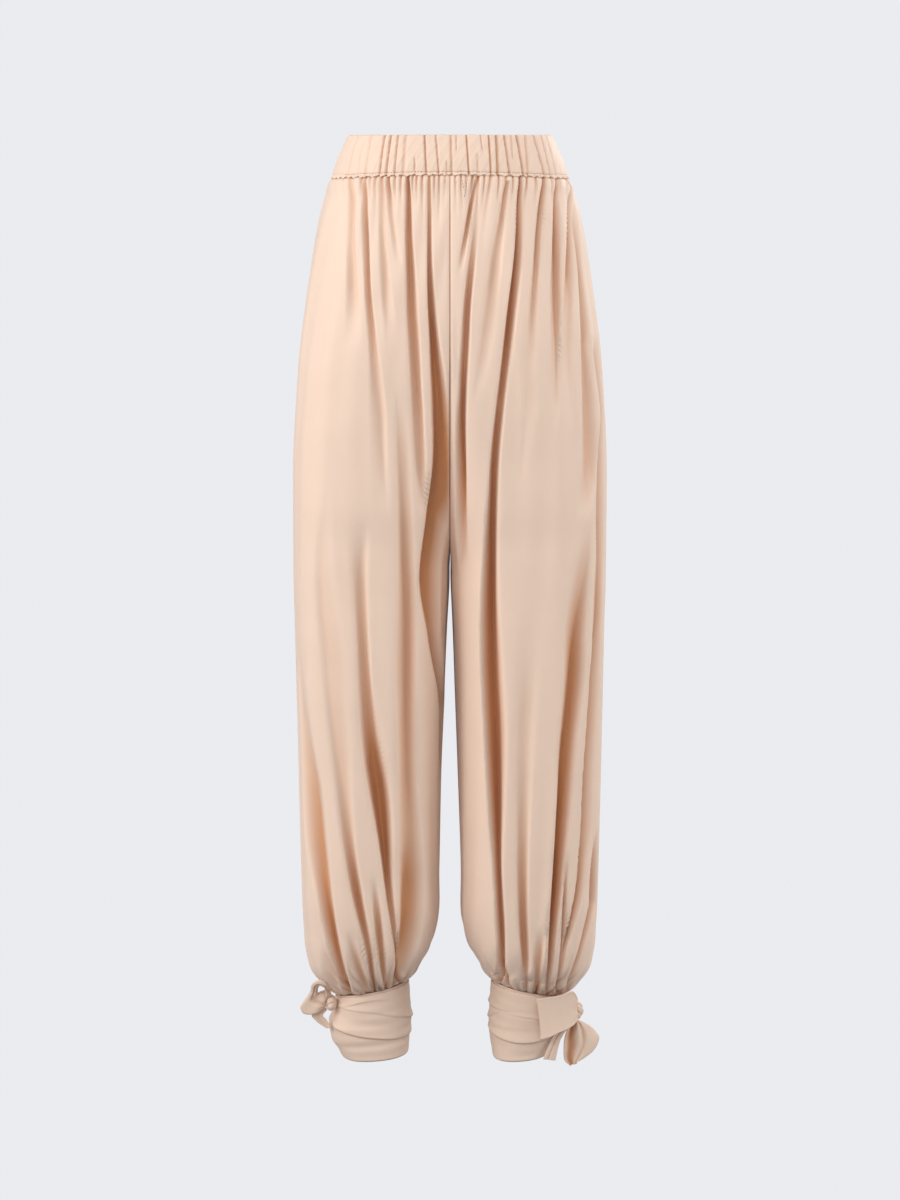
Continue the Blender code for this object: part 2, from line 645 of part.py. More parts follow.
def build():
    """Every piece of the trousers, in the order they are sewn."""
    for thing in list(bpy.data.objects):
        bpy.data.objects.remove(thing, do_unlink=True)
    collection = bpy.data.collections.new(COLLECTION)
    bpy.context.scene.collection.children.link(collection)

    add_waistband("front")
    add_waistband("back")
    add_panel("right", "front", FRONT_RIGHT_FOLDS, FRONT_GATHERS)
    add_panel("left", "front", FRONT_LEFT_FOLDS, FRONT_GATHERS)
    add_panel("right", "back", BACK_RIGHT_FOLDS, BACK_GATHERS)
    add_panel("left", "back", BACK_LEFT_FOLDS, BACK_GATHERS)
    for side in ("right", "left"):
        add_cuff(side)
        add_wound_tie(side)
    add_knot("right", RIGHT_KNOT)
    add_knot("left", LEFT_KNOT)
    add_strip("tie_loop", "right", RIGHT_KNOT, RIGHT_LOOP, LOOP_STEPS)
    add_strip("tie_tail", "right", RIGHT_KNOT, RIGHT_TAIL, TAIL_STEPS)
    add_strip("tie_loop", "left", LEFT_KNOT, LEFT_LOOP, LOOP_STEPS)
    add_strip("tie_tail", "left", LEFT_KNOT, LEFT_TAIL, TAIL_STEPS)
    add_strip("tie_short_tail", "left", LEFT_KNOT, LEFT_SHORT_TAIL, SHORT_TAIL_STEPS)


build()
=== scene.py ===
# The looks of the full-leg trousers: fine cloth shells over the frame's solids, their
# folds, gathers, seams and ties, the peach crepe they are made of, and a pale studio.
#
# Sizes are millimetres about the middle of the waist opening, and "drop" is the
# distance below it. The front faces -Y and the wearer's left is +X.

import math

import bmesh
import bpy
import numpy as np
from mathutils import Matrix, Vector


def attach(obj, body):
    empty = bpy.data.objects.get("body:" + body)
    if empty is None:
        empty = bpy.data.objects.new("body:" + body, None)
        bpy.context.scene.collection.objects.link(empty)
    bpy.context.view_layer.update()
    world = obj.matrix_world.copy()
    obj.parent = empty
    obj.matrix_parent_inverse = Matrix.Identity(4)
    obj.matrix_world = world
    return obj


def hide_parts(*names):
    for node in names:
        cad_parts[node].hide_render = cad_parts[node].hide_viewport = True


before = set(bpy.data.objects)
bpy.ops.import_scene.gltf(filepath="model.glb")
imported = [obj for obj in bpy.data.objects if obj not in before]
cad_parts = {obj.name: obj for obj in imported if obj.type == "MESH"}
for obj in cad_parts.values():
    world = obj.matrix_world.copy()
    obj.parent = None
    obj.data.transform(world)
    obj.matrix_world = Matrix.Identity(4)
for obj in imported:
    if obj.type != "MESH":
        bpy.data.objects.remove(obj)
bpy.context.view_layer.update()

MM = 0.001

# Cloth, seams and outlines
CLOTH_WALL = 0.9
BAND_WALL = 1.8
TIE_WALL = 1.2
SEAM_GAP = 0.3
ROUNDNESS = 2.2
LEG_ROUNDNESS = ((24, 150, 300, 850, 920, 957), (2.2, 2.6, 3.0, 3.0, 2.6, 2.2))
OUTLINE_SAMPLES = 601
EDGE_CALM = 9.0
EDGE_GAP = 0.06
EDGE_ROLL = 0.9
EDGE_ROLL_WIDTH = 2.0
CENTRE_ROLL = 3.2
CENTRE_ROLL_WIDTH = 3.6
# The centre seam sinks less near the waist
CENTRE_ROLL_HIGH = 0.35
CENTRE_ROLL_START = 150
CENTRE_ROLL_BLEND = 200
CENTRE_ROLL_CURVE = 1.6
SEAM_TUCK = 1.6
SEAM_TUCK_WIDTH = 3.2
# Puffs beside the seams: how high, how far from the seam and how wide
WAIST_PUFF = (1.8, 8, 8)
ANKLE_PUFF = (2.6, 7, 8)
BAND_TOP = -24.5
BAND_SEAM = 23.7
CROTCH = 452.0
CUFF_SEAM = 957.0

# One leg from the waist seam to the cuff seam
SECTION_COLUMNS = ("drop", "axis", "outer", "inner", "front", "back", "middle", "slant")
SECTIONS = (
    (BAND_SEAM + SEAM_GAP, 0, 134, -134, 96, 100, 0, 0),
    (50, 3, 143.5, -136, 106, 112, 0, 0),
    (84, 8, 151.5, -128, 114, 123, 0, 0),
    (120, 14, 157.5, -116, 119, 131, 0, 0),
    (165, 24, 164, -95, 122, 135, 0, 0),
    (220, 38, 170.5, -70, 122, 134, 0, 0),
    (278, 54, 174.5, -46, 119, 130, 0, 0),
    (335, 68, 177.5, -28, 116, 126, 1, 0),
    (390, 80, 178, -12.5, 113, 122, 1, 0),
    (430, 87, 178, -4, 110, 119, 2, 0),
    (CROTCH, 89, 178, 0.4, 109, 117, 2, 0),
    (485, 90, 178, 1.5, 108, 115, 3, 0),
    (530, 91, 177, 4, 107, 113, 4, 0),
    (620, 91.5, 175.5, 7.5, 104, 110, 6, 0),
    (740, 92, 173, 11.2, 99, 105, 9, 0),
    (820, 92, 171, 12.8, 95, 101, 11, 0),
    (880, 92, 169, 14.5, 89, 95, 12, 0),
    (910, 92, 166.5, 22, 83, 88, 12, 2),
    (930, 91.5, 160, 31, 74, 78, 12, 5),
    (945, 91, 146, 38.5, 61, 64, 12, 7.5),
    (CUFF_SEAM, 90.5, 132.4, 48.6, 46.8, 48.8, 12, 9),
)

# Rows and columns of the panels
ROW_FINE = 1.7
ROW_COARSE = 5.9
ROW_BLEND = 60.0
ROW_LEAST = 0.1
CROTCH_BLEND = 30.0
LENGTH_BLEND = 45.0
FRONT_COLUMNS = 260
BACK_COLUMNS = 160
CROWDING = 5.0
GATHER_CROWDING = 2
INNER_BLEND = 0.07
FOLD_MERGE = 2.5
SEAM_HOLD = 0.6
SEAM_RELEASE = 10.0
FOLD_CLEAR = 26.0
FOLD_CLEAR_BLEND = 70.0
FOLD_LIMIT = 0.972
FOLD_KEENNESS = 0.2
CREASE_FLATNESS = 1.35
SHORT_FLANK_KEENNESS = 0.5

# Folds, each followed down the leg: drop, distance from the centre line, depth, and the
# widths of the flanks on the inner and outer side
FOLD_COLUMNS = ("drop", "x", "deep", "inner", "outer")
FRONT_RIGHT_FOLDS = (
    ((24, 109, 5.5, 3.5, 6.5), (85, 110, 5.5, 6, 7), (147, 108.5, 5, 8.5, 8.5),
     (208, 106, 0, 11.5, 14.5)),
    ((24, 97, 5, 5.5, 3), (87, 95, 8, 6, 3), (150, 91.5, 8.5, 5.5, 4), (214, 84.5, 6, 6.5, 6.5),
     (277, 78, 5, 8.5, 13), (340, 74.5, 3, 6, 14.5), (403, 71.5, 0, 7, 15)),
    ((24, 77, 2, 4, 5), (87, 75, 4.5, 5, 5.5), (150, 70.5, 4.5, 7.5, 7), (213, 67, 0, 16.5, 5)),
    ((24, 69.5, 4.5, 4, 3.5), (74, 63.5, 4, 4.5, 4.5), (124, 54.5, 0, 4.5, 6.5)),
    ((24, 46.5, 6, 3, 3), (91, 46, 11, 6.5, 5), (158, 43, 11.5, 8.5, 7), (224, 38, 10.5, 7, 10.5),
     (291, 32.5, 8.5, 5.5, 13.5), (358, 29.5, 6, 5, 13), (403, 28.5, 0, 3, 9)),
    ((24, 22.5, 0.5, 3, 3), (88, 24, 7.5, 5, 2.5), (151, 23.5, 13.5, 8, 4), (215, 18, 17.5, 10, 6.5),
     (278, 10.5, 18.5, 13, 12.5), (342, 7.5, 19.5, 15.5, 16.5), (405, 11, 23, 20.5, 25),
     (469, 18.5, 19.5, 23.5, 26), (532, 13.5, 13.5, 13.5, 26), (596, 9, 13, 15, 26),
     (706, 6.5, 0, 10, 15.5)),
    ((258, 58, 0, 14, 3.5), (322, 56, 4.5, 16, 7), (385, 52.5, 7, 14, 9), (449, 49, 10, 13, 11.5),
     (512, 45.5, 11.5, 12, 17.5), (576, 44, 11.5, 10.5, 22.5), (639, 45.5, 11.5, 13, 18),
     (703, 44.5, 11, 13, 18.5), (766, 43, 10.5, 17, 20), (830, 44.5, 17, 25, 17),
     (893, 52, 14, 26, 11), (957, 62, 8, 8, 8)),
    ((403, 98.5, 0, 12.5, 19.5), (465, 100, 6, 9.5, 13.5), (526, 98, 8.5, 8, 11),
     (588, 93.5, 10.5, 7.5, 13.5), (649, 89.5, 14.5, 11, 14), (711, 82.5, 24, 16.5, 12),
     (772, 76, 21.5, 13, 8), (834, 69.5, 12.5, 6.5, 5), (895, 61.5, 9.5, 3, 5.5),
     (957, 54, 9, 3.5, 7.5)),
    ((539, 168.5, 0, 25.5, 16.5), (599, 171, 3.5, 26, 15), (658, 165.5, 6.5, 26, 24),
     (718, 159.5, 12, 26, 26), (778, 155.5, 15, 25, 18.5), (838, 147, 15, 18, 9.5),
     (897, 135.5, 15, 13.5, 5.5), (957, 116.5, 9, 8.5, 7)),
    ((539, 141.5, 0, 25, 11), (599, 135.5, 4, 25, 11), (658, 128.5, 5.5, 21, 11.5),
     (718, 121, 6.5, 13, 10.5), (778, 114.5, 9.5, 9.5, 8.5), (838, 105.5, 14, 8.5, 7),
     (897, 94, 11, 6, 4), (957, 85, 6, 3, 3)),
    ((813, 86.5, 0, 5.5, 6.5), (885, 80, 12, 5.5, 6), (957, 73, 7.5, 4, 3)),
    ((870, 64.5, 0, 3, 5.5), (914, 58, 8, 3, 5), (957, 55, 9, 3, 6)),
    ((876, 115.5, 0, 10, 8.5), (916, 106.5, 8, 8.5, 6), (957, 93, 8, 4, 4.5)),
    ((893, 144, 0, 9, 6.5), (925, 138.5, 4.5, 12, 13.5), (957, 124, 3, 9, 6.5)),
    ((330, 132, 0, 6, 6), (388, 138, 0.5, 9, 7.5), (446, 143.5, 2.5, 17, 12),
     (504, 143, 3.5, 26, 11), (562, 135.5, 4, 26, 14.5), (620, 127.5, 0, 21.5, 17)),
)
FRONT_LEFT_FOLDS = (
    ((24, 31, 6, 3, 3), (77, 19, 8.5, 3.5, 4), (130, 10, 0, 5, 5)),
    ((24, 30.5, 0, 4, 4.5), (40, 31, 1, 5.5, 6.5), (101, 25.5, 6, 5.5, 5.5), (161, 20.5, 12, 7, 4.5),
     (222, 16, 12.5, 5.5, 6), (283, 10, 15, 4, 10), (344, 9, 15, 4.5, 11.5),
     (404, 9.5, 10, 5.5, 14.5), (465, 10, 0, 4.5, 25.5)),
    ((30, 64.5, 6, 3, 3), (90, 55.5, 5.5, 10, 5.5), (150, 45, 5.5, 9, 11.5),
     (209, 36.5, 3.5, 6.5, 14.5), (269, 28.5, 0, 4.5, 8.5)),
    ((24, 78.5, 5, 3, 4.5), (102, 74, 12.5, 4.5, 8.5), (180, 66, 15, 5.5, 8.5),
     (257, 56.5, 13.5, 5, 7.5), (335, 48.5, 15, 5.5, 8.5), (413, 42.5, 19, 5, 13),
     (490, 38, 24, 5, 19.5), (568, 37.5, 24, 5, 26), (646, 41.5, 24, 5.5, 26),
     (724, 46, 22.5, 5.5, 19), (802, 51, 16, 4.5, 10.5), (879, 55.5, 14.5, 4, 9.5),
     (957, 59, 9, 6.5, 3)),
    ((24, 106.5, 9, 6, 3), (85, 101.5, 8.5, 8.5, 3.5), (146, 94.5, 6.5, 7.5, 5.5),
     (208, 89, 3.5, 8.5, 10), (269, 87.5, 0, 13, 7.5)),
    ((24, 120, 9, 5.5, 4), (94, 121.5, 11, 11, 4.5), (163, 123, 8.5, 15.5, 4),
     (232, 119.5, 5, 12.5, 4.5), (302, 116.5, 0, 7.5, 6.5)),
    ((24, 135, 9, 3, 12), (94, 134, 12.5, 7.5, 11), (163, 133.5, 5.5, 10.5, 7.5),
     (232, 133.5, 2.5, 12, 10), (302, 136, 0, 12, 8)),
    ((40, 138, 0, 9, 5.5), (116, 147, 8, 12, 8), (173, 152, 8.5, 15, 8), (230, 155, 8.5, 18, 9),
     (288, 158, 9, 21, 14), (346, 159, 8, 22, 15), (403, 153.5, 0, 24, 12)),
    ((403, 159.5, 0, 11, 3.5), (465, 154, 7, 23.5, 8.5), (526, 148, 13.5, 25.5, 11.5),
     (588, 142.5, 18, 19, 14), (649, 134.5, 18.5, 14, 14.5), (711, 127, 19.5, 9, 17),
     (772, 122, 19, 6.5, 15.5), (834, 117.5, 19, 5, 13), (895, 114, 13, 3.5, 8.5),
     (957, 112, 5.5, 3, 3)),
    ((202, 168.5, 0, 22, 14), (265, 170, 15, 11, 17.5), (328, 170.5, 15, 12, 20),
     (391, 171, 15, 15.5, 21.5), (454, 172, 15, 17, 16), (517, 169, 15, 13.5, 13),
     (580, 162.5, 15, 9, 26), (642, 158.5, 15, 8, 26), (705, 153, 15, 5, 26),
     (768, 150.5, 15, 5, 26), (831, 144.5, 15, 4, 13.5), (894, 132.5, 7.5, 3, 4),
     (957, 122, 5.5, 3, 3)),
    ((494, 94.5, 0, 17.5, 11), (560, 87.5, 1.5, 14.5, 18), (626, 83, 3.5, 13.5, 17),
     (692, 82.5, 4, 13, 13), (759, 83, 6.5, 11, 8.5), (825, 82.5, 10, 8.5, 7.5),
     (891, 84, 12.5, 6, 7.5), (957, 88.5, 4, 3, 3)),
    ((767, 169.5, 0, 7.5, 4), (830, 169, 15, 14.5, 8.5), (894, 154.5, 10, 9, 6.5),
     (957, 130, 1.5, 4, 3)),
    ((870, 57.5, 0, 4, 9), (914, 61, 4, 5, 5), (957, 67, 5, 4, 4)),
    ((870, 108, 0, 12, 3), (914, 102, 8, 8.5, 4.5), (957, 101, 9, 7, 3)),
    ((780, 135, 0, 3, 4), (839, 131.5, 7.5, 4, 3.5), (898, 128.5, 7, 3, 3), (957, 122, 4.5, 3, 3)),
    ((200, 81, 0, 5, 8), (255, 86, 2.5, 7.5, 16.5), (310, 85, 1, 6.5, 10.5), (365, 78.5, 0, 6, 6),
     (420, 76, 0, 6, 6)),
)
BACK_RIGHT_FOLDS = (
    ((24, 30, 13, 6, 4), (177, 30, 16.5, 10.5, 7), (330, 16, 0, 11, 7.5)),
    ((24, 58, 9, 4.5, 4.5), (137, 63, 7.5, 7, 7), (250, 58, 0, 8.5, 8.5)),
    ((24, 92, 11.5, 4, 10), (189, 100.5, 15, 7.5, 18), (355, 103.5, 11, 7.5, 18.5),
     (520, 96, 0, 7.5, 18.5)),
    ((24, 118, 7.5, 4.5, 4.5), (162, 133, 6, 7.5, 7.5), (300, 138, 0, 8.5, 8.5)),
    ((280, 46, 0, 22, 7.5), (449, 50, 11, 22, 7.5), (618, 56, 19, 22, 7.5), (788, 60, 17.5, 22, 7.5),
     (957, 64, 13, 12, 4)),
    ((430, 128, 0, 7.5, 18.5), (606, 121, 12.5, 7.5, 18.5), (781, 107, 16.5, 7.5, 18.5),
     (957, 90, 13, 4, 10)),
    ((560, 156, 0, 9, 11), (758, 147, 9, 9, 11), (957, 114, 11.5, 5, 6)),
    ((700, 84, 0, 8.5, 8.5), (828, 80, 5.5, 8, 8), (957, 76, 9, 4.5, 4.5)),
    ((820, 24, 0, 6, 6), (888, 38, 5.5, 5, 5), (957, 53, 7.5, 3.5, 3.5)),
    ((24, 44, 6, 3, 5), (120, 46, 7, 6, 6), (230, 43, 0, 8, 8)),
    ((24, 76, 5, 3, 4), (100, 80, 6, 6, 7), (190, 84, 0, 8, 8)),
    ((24, 106, 6, 4, 3), (140, 116, 5.5, 8, 6), (260, 124, 0, 9, 9)),
    ((24, 125, 5, 3, 4), (150, 146, 6, 7, 9), (330, 152, 0, 9, 9)),
    ((600, 96, 0, 8, 8), (800, 93, 8, 7, 7), (957, 81, 10, 3, 4)),
    ((720, 122, 0, 8, 8), (860, 112, 9, 6, 6), (957, 97, 11, 3, 4)),
    ((640, 34, 0, 9, 9), (820, 45, 7, 7, 7), (957, 58, 8, 3, 4)),
)
BACK_LEFT_FOLDS = (
    ((24, 24, 11.5, 4, 6), (162, 27, 15, 6.5, 10), (300, 14, 0, 7.5, 11)),
    ((24, 66, 13, 10, 4), (203, 72, 18, 18.5, 7.5), (381, 75.5, 13.5, 18.5, 7.5),
     (560, 66, 0, 18.5, 7.5)),
    ((24, 88, 7.5, 4.5, 4.5), (127, 96, 6, 7, 7), (230, 96, 0, 8.5, 8.5)),
    ((24, 112, 9, 4.5, 5), (177, 130, 9, 8, 9), (330, 134, 0, 8.5, 9)),
    ((250, 146, 0, 8.5, 20), (427, 143, 10.5, 8.5, 20), (604, 132, 18, 8.5, 20),
     (780, 118, 17, 8.5, 20), (957, 98, 13, 4.5, 11)),
    ((380, 38, 0, 7.5, 20), (524, 38, 9.5, 7.5, 20), (668, 44, 16.5, 7.5, 20),
     (813, 52, 15.5, 7, 20), (957, 60, 11.5, 4, 11)),
    ((600, 160, 0, 9, 9), (778, 152, 9, 9, 9), (957, 120, 11.5, 5, 5)),
    ((690, 96, 0, 8.5, 8.5), (824, 88, 5.5, 8, 8), (957, 80, 9, 4.5, 4.5)),
    ((840, 26, 0, 6, 6), (898, 36, 5.5, 4.5, 4.5), (957, 51, 7.5, 3.5, 3.5)),
    ((24, 45, 7, 4, 3), (110, 48, 8, 6, 6), (200, 50, 0, 8, 8)),
    ((24, 78, 5, 3, 4), (140, 82, 6, 7, 6), (270, 86, 0, 9, 9)),
    ((24, 101, 6, 4, 4), (110, 112, 6, 7, 7), (210, 120, 0, 8, 8)),
    ((24, 128, 5, 4, 3), (130, 147, 6, 8, 7), (280, 156, 0, 9, 9)),
    ((560, 70, 0, 8, 8), (780, 72, 8, 7, 8), (957, 70, 10, 3, 4)),
    ((700, 106, 0, 8, 8), (850, 100, 9, 6, 7), (957, 89, 11, 3, 4)),
    ((680, 30, 0, 8, 9), (840, 44, 7, 7, 6), (957, 57, 8, 3, 3)),
)
# A fold whose flanks differ rolls its steep lip over the valley
LIP_SHIFT = 0.1
LIP_REACH = 0.35
LIP_RISE = 0.06
LIP_PLACE = 1.05
LIP_WIDTH = 0.7
LIP_LEAST_WIDTH = 1.5
LIP_FROM_RATIO = 1.1

# Small gathers at the seams, listed where the front shows them: distance from the centre
# line at the seam and where they fade, reach, depth and half width
GATHER_COLUMNS = ("start", "end", "reach", "deep", "wide")
FRONT_RIGHT_WAIST = (
    (128, 131, 45, 1.1, 3), (120, 122, 68, 1.1, 3.2), (112.6, 113, 72, 2, 3),
    (99.5, 99, 43, 4, 2), (94.7, 96, 88, 3.1, 3), (88.9, 88, 38, 3, 1.9),
    (83.1, 83.5, 75, 3.4, 2.6), (76.3, 65, 105, 3.1, 3), (69.2, 66.5, 53, 3.5, 2),
    (61.3, 60, 43, 3.8, 1.9), (54.7, 54, 48, 3.8, 1.9), (47.6, 47.2, 77, 3.8, 2.6),
    (41.6, 41, 48, 3.8, 1.9), (37.1, 36.5, 38, 3.8, 1.8), (31, 30, 67, 3.8, 2),
    (23.1, 24, 88, 3.8, 2.6), (17.4, 17, 43, 3.8, 1.8), (12.1, 12, 58, 3.8, 1.9),
    (5.5, 6, 38, 3, 1.8),
)
FRONT_LEFT_WAIST = (
    (5.8, 7, 53, 3.2, 1.9), (12, 14.5, 62, 3.2, 1.9), (18, 17.5, 43, 2.8, 1.8),
    (25.5, 16.3, 69, 4.8, 2.6), (32.1, 29, 48, 3.8, 1.9), (38.5, 34, 62, 3.5, 2),
    (45.3, 32.1, 90, 3.4, 2.8), (54.5, 50.5, 53, 3.8, 1.9), (62.4, 53.2, 79, 2.9, 2.8),
    (70.3, 68, 48, 3.5, 1.9), (78.2, 75.5, 88, 3.8, 2.6), (86, 80.8, 62, 4, 1.9),
    (95.8, 94, 57, 3.4, 2.4), (104.5, 100.5, 51, 3.4, 2.3), (113.7, 116.3, 86, 2.7, 2.6),
    (122.4, 128, 73, 2.5, 2.6), (129.5, 134, 51, 2.1, 2.3),
)
FRONT_RIGHT_ANKLE = (
    (123.7, 130, 30, 2.4, 2.0), (119.2, 124, 22, 2.8, 1.7), (114, 119, 34, 2.6, 1.8),
    (109.6, 121, 75, 4.6, 2.4), (101.9, 109, 40, 3.0, 1.9), (96.4, 109, 70, 4.2, 2.4),
    (90.5, 93, 30, 3.2, 1.8), (86.3, 92, 80, 5.0, 2.4), (79, 81, 24, 3.4, 1.7),
    (73.8, 76, 70, 5.0, 2.3), (70.9, 72, 18, 2.6, 1.4), (67.2, 68, 42, 3.6, 1.7),
    (64.6, 64, 18, 2.8, 1.4), (58.1, 58, 40, 4.4, 2.0), (52, 51, 60, 3.6, 2.0),
)
FRONT_LEFT_ANKLE = (
    (51.8, 47, 24, 2.6, 1.7), (56.8, 53, 34, 3.2, 1.8), (62.4, 56, 70, 4.6, 2.2),
    (71.6, 66, 75, 4.8, 2.3), (80, 77, 26, 4.0, 1.8), (85, 82.5, 20, 2.6, 1.5),
    (87.9, 86.5, 30, 3.0, 1.6), (95.7, 95, 22, 4.2, 1.7), (99.5, 96, 75, 4.6, 2.5),
    (103.8, 104, 24, 3.4, 1.6), (106.4, 108, 20, 2.8, 1.4), (111.5, 117, 75, 4.8, 2.3),
    (118, 126, 60, 4.4, 2.1), (122.6, 131, 40, 3.0, 1.7), (125.9, 136, 34, 3.0, 1.7),
    (129.5, 142, 50, 3.4, 1.9),
)
# Gathers of the back, made by rule: how many, their depths, half widths and reaches
RULE_COLUMNS = ("count", "shallow", "deep", "narrow", "wide", "short", "long")
WAIST_RULE = (30, 2.6, 6.0, 1.7, 2.7, 30, 120)
ANKLE_RULE = (24, 3.0, 6.0, 1.4, 2.3, 26, 95)
WAIST_REACH = 133.0
ANKLE_REACH = (50, 131)
GATHER_SPREAD = 45.0
GATHER_SWAY = 5.0
GATHER_JITTER = (0.1, 0.9)
GATHER_SHORTNESS = 1.8
GATHER_FADE = 1.2
GATHER_KEENNESS = 0.5
# Depth of a valley in full painted shade, how strongly the small gathers darken with painted shade, more
# so beside a seam, and how much weaker the painted shade is on the back
FULL_SHADE_DEPTH = 16
FINE_SHADE = 1.6
SEAM_SHADE = 1.6
SEAM_SHADE_REACH = 14.0
BACK_SHADE = 0.72
# Painted shadow on the cloth beyond the left leg's outer fold: from which distance on, and how dark
SHADOW_COLUMNS = ("drop", "x", "tone")
FRONT_LEFT_SHADOW = (
    (241, 170.0, 0), (329, 167.5, 0.4), (420, 166.0, 0.65), (500, 162.5, 0.75),
    (615, 156.5, 0.75), (700, 151.0, 0.65), (788, 144.0, 0.4), (880, 136.0, 0),
)
SHADOW_START = 2.5
SHADOW_END = 34.0
# Soft unevenness of the hanging cloth
DRAPE_WAVES = 8
DRAPE_HEIGHT = 0.4
DRAPE_ACROSS = (26, 80)
DRAPE_ALONG = (700, 1600)
DRAPE_STRENGTHS = (0.4, 1)
DRAPE_RELEASE = 40
# Seeds of the panels' waves, and of the back panels' gathers too
FRONT_SEEDS = {"right": 11, "left": 23}
BACK_SEEDS = {"right": 37, "left": 53}

# Threads: a run along the waistband's seam and a small cross-stitched V beside the centre
STITCH_SIDES = 6
STITCH_STEPS = 6
STITCH_RADIUS = 0.32
STITCH_CAST = 300.0
STITCH_SPAN = 118.0
STITCH_LINE_POINTS = 60
STITCH_TIP = 0.04
SEAM_STITCH = (2.4, 1.0)
MARK_STITCH = (3.0, 0.5)
MARK_ARMS = (
    ((11.8, -13.5), (13.4, -24), (15.4, -36)),
    ((21.0, -16.5), (18.6, -28), (15.9, -44)),
)
STITCH_ABOVE = 3.4

# Waistband
BAND_COLUMNS = ("drop", "width", "front", "back")
BAND_SECTIONS = (
    (BAND_TOP, 115, 82, 84),
    (-10, 121.5, 87, 90),
    (5, 128, 92, 95),
    (BAND_SEAM, 134, 96, 100),
)
BAND_GRID = (40, 340)
BAND_HEIGHT = 48.0
# The front seam rises a little towards the centre line
SEAM_ARCH = 4.6
SEAM_ARCH_BLEND = 70.0
# Pleats of the band's front: distance from the centre line at its top and bottom, depth,
# flank widths, and where between top (0) and bottom (1) they start and end
PLEAT_COLUMNS = ("high", "low", "deep", "inner", "outer", "start", "end")
BAND_FRONT_PLEATS = (
    (-104, -116, 0.9, 4, 3, 0, 1),
    (-96, -104, 0.7, 4, 4, 0.1, 1),
    (-88, -95, 1.0, 5, 3, 0, 1),
    (-73, -79, 2.6, 1.6, 2.2, 0, 1),
    (-66, -71.5, 2.8, 1.6, 2.4, 0, 1),
    (-58, -62, 2.2, 1.5, 2.6, 0, 1),
    (-49, -52, 1.3, 3.5, 4.5, 0, 1),
    (-40, -39, 1.8, 1.4, 1.6, 0.5, 1),
    (-28.5, -26.5, 2.7, 1.5, 2.6, 0, 1),
    (-16, -12.5, 2.1, 1.5, 2.4, 0, 1),
    (-4, -3.5, 1.6, 1.4, 1.6, 0.6, 1),
    (1, 2, 1.8, 3.2, 3.4, 0, 1),
    (7, 7.5, 1.5, 1.6, 1.6, 0, 0.5),
    (18, 21, 2.7, 1.6, 2.6, 0, 1),
    (30, 31, 1.1, 3.2, 3.2, 0.4, 1),
    (34, 38.5, 1.5, 1.3, 1.5, 0, 0.5),
    (43, 45.5, 2.7, 1.6, 2.6, 0, 1),
    (51, 52.5, 2.6, 1.5, 5.2, 0, 1),
    (60, 66, 2.3, 1.5, 4.0, 0, 1),
    (68, 71, 1.4, 2.2, 2.2, 0, 0.7),
    (74, 81.5, 2.6, 1.6, 4.0, 0, 1),
    (84, 87, 1.6, 3.2, 3.6, 0, 1),
    (93, 106, 2.1, 1.8, 4.5, 0, 1),
    (102, 113, 1.8, 1.8, 3.2, 0, 1),
    (108, 120, 1.3, 1.8, 3.0, 0, 1),
)
# Pleats of the band's back, made by rule
BACK_PLEATS = 26
BACK_PLEAT_SEED = 41
BACK_PLEAT_REACH = 108
BACK_PLEAT_SWAY = 2.5
BACK_PLEAT_FLARE = 1.13
BACK_PLEAT_LEAN = 1.5
BACK_PLEAT_FLANKS = (1.5, 4.2)
BACK_PLEAT_DEPTHS = (1.1, 2.7)
BACK_PLEATS_WHOLE = 0.75
BACK_PLEAT_START = 0.35
PLEAT_FADE = 0.15
PLEAT_GAIN = 1.15
PLEAT_KEENNESS = 0.85
# Pleat depth in full painted shade
FULL_PLEAT_SHADE = 3.4
# Lip and groove beside the seam: how high or deep, how far above it and how wide
BAND_LIP = (1.3, 1.2, 1.1)
BAND_GROOVE = (0.9, 3.4, 0.9)
# The lip's least share, and the height and rate of its waves
BAND_LIP_UNEVEN = (0.8, 0.3, 0.8)
BAND_LIP_REACH = 9
# Heights and rates of the band's ripples
BAND_RIPPLES = ((0.22, 0.45), (0.15, 1.1))
BAND_PUFF = 0.5
BAND_SEED = 7
BAND_ROW_CROWDING = 1.5
BAND_EDGE_GAP = 0.08
BAND_EDGE_CALM = 6
BAND_TUCK = 0.8
BAND_TUCK_WIDTH = 0.6
BAND_ROLL = 0.9
BAND_ROLL_SHARE = 0.05
BAND_BEAT_RATE = 0.57
BAND_WANDER = 1.3
BAND_WANDER_RATE = 0.11
BAND_SECOND_BEAT = 0.5
BAND_SECOND_RATE = 1.2
BAND_CREST_DIP = 2
BAND_CREST_SHARE = 0.3
BAND_ARCH_START = 1.2
BAND_LIP_WAVE = 0.8
BAND_TOP_WAVE = 0.35

# Ankle cuffs and the ties wound round them
CUFF_COLUMNS = ("drop", "inner", "outer", "front", "back", "slant")
CUFF_SECTIONS = {
    "right": (
        (CUFF_SEAM + SEAM_GAP, 49.5, 131.5, 46, 48, 9),
        (978, 48, 134, 46, 48, 6),
        (1000, 46.5, 139.5, 45.5, 47, 3),
        (1018, 48, 136, 44, 46, 2.5),
        (1039.5, 50.5, 122.5, 42, 44, 3.4),
    ),
    "left": (
        (CUFF_SEAM + SEAM_GAP, 49.5, 131.5, 46, 48, 9),
        (978, 48, 134, 46, 48, 6),
        (1000, 46.5, 136, 45.5, 47, 2),
        (1018, 47.5, 130, 44, 46, 0),
        (1038.5, 52, 114, 42, 44, -4),
    ),
}
CUFF_MIDDLE = 12
CUFF_GRID = (30, 120)
SLANT_AXIS = 90.5
SLANT_HALF = 45.0
TIE_TOP = 959.5
TIE_BOTTOM_SHORT = 0.8
TIE_GRID = (84, 124)
HEM_TUCK = 0.4
HEM_TUCK_REACH = 2
TIE_REST = 0.2
TIE_SWELL_CURVE = 1.4
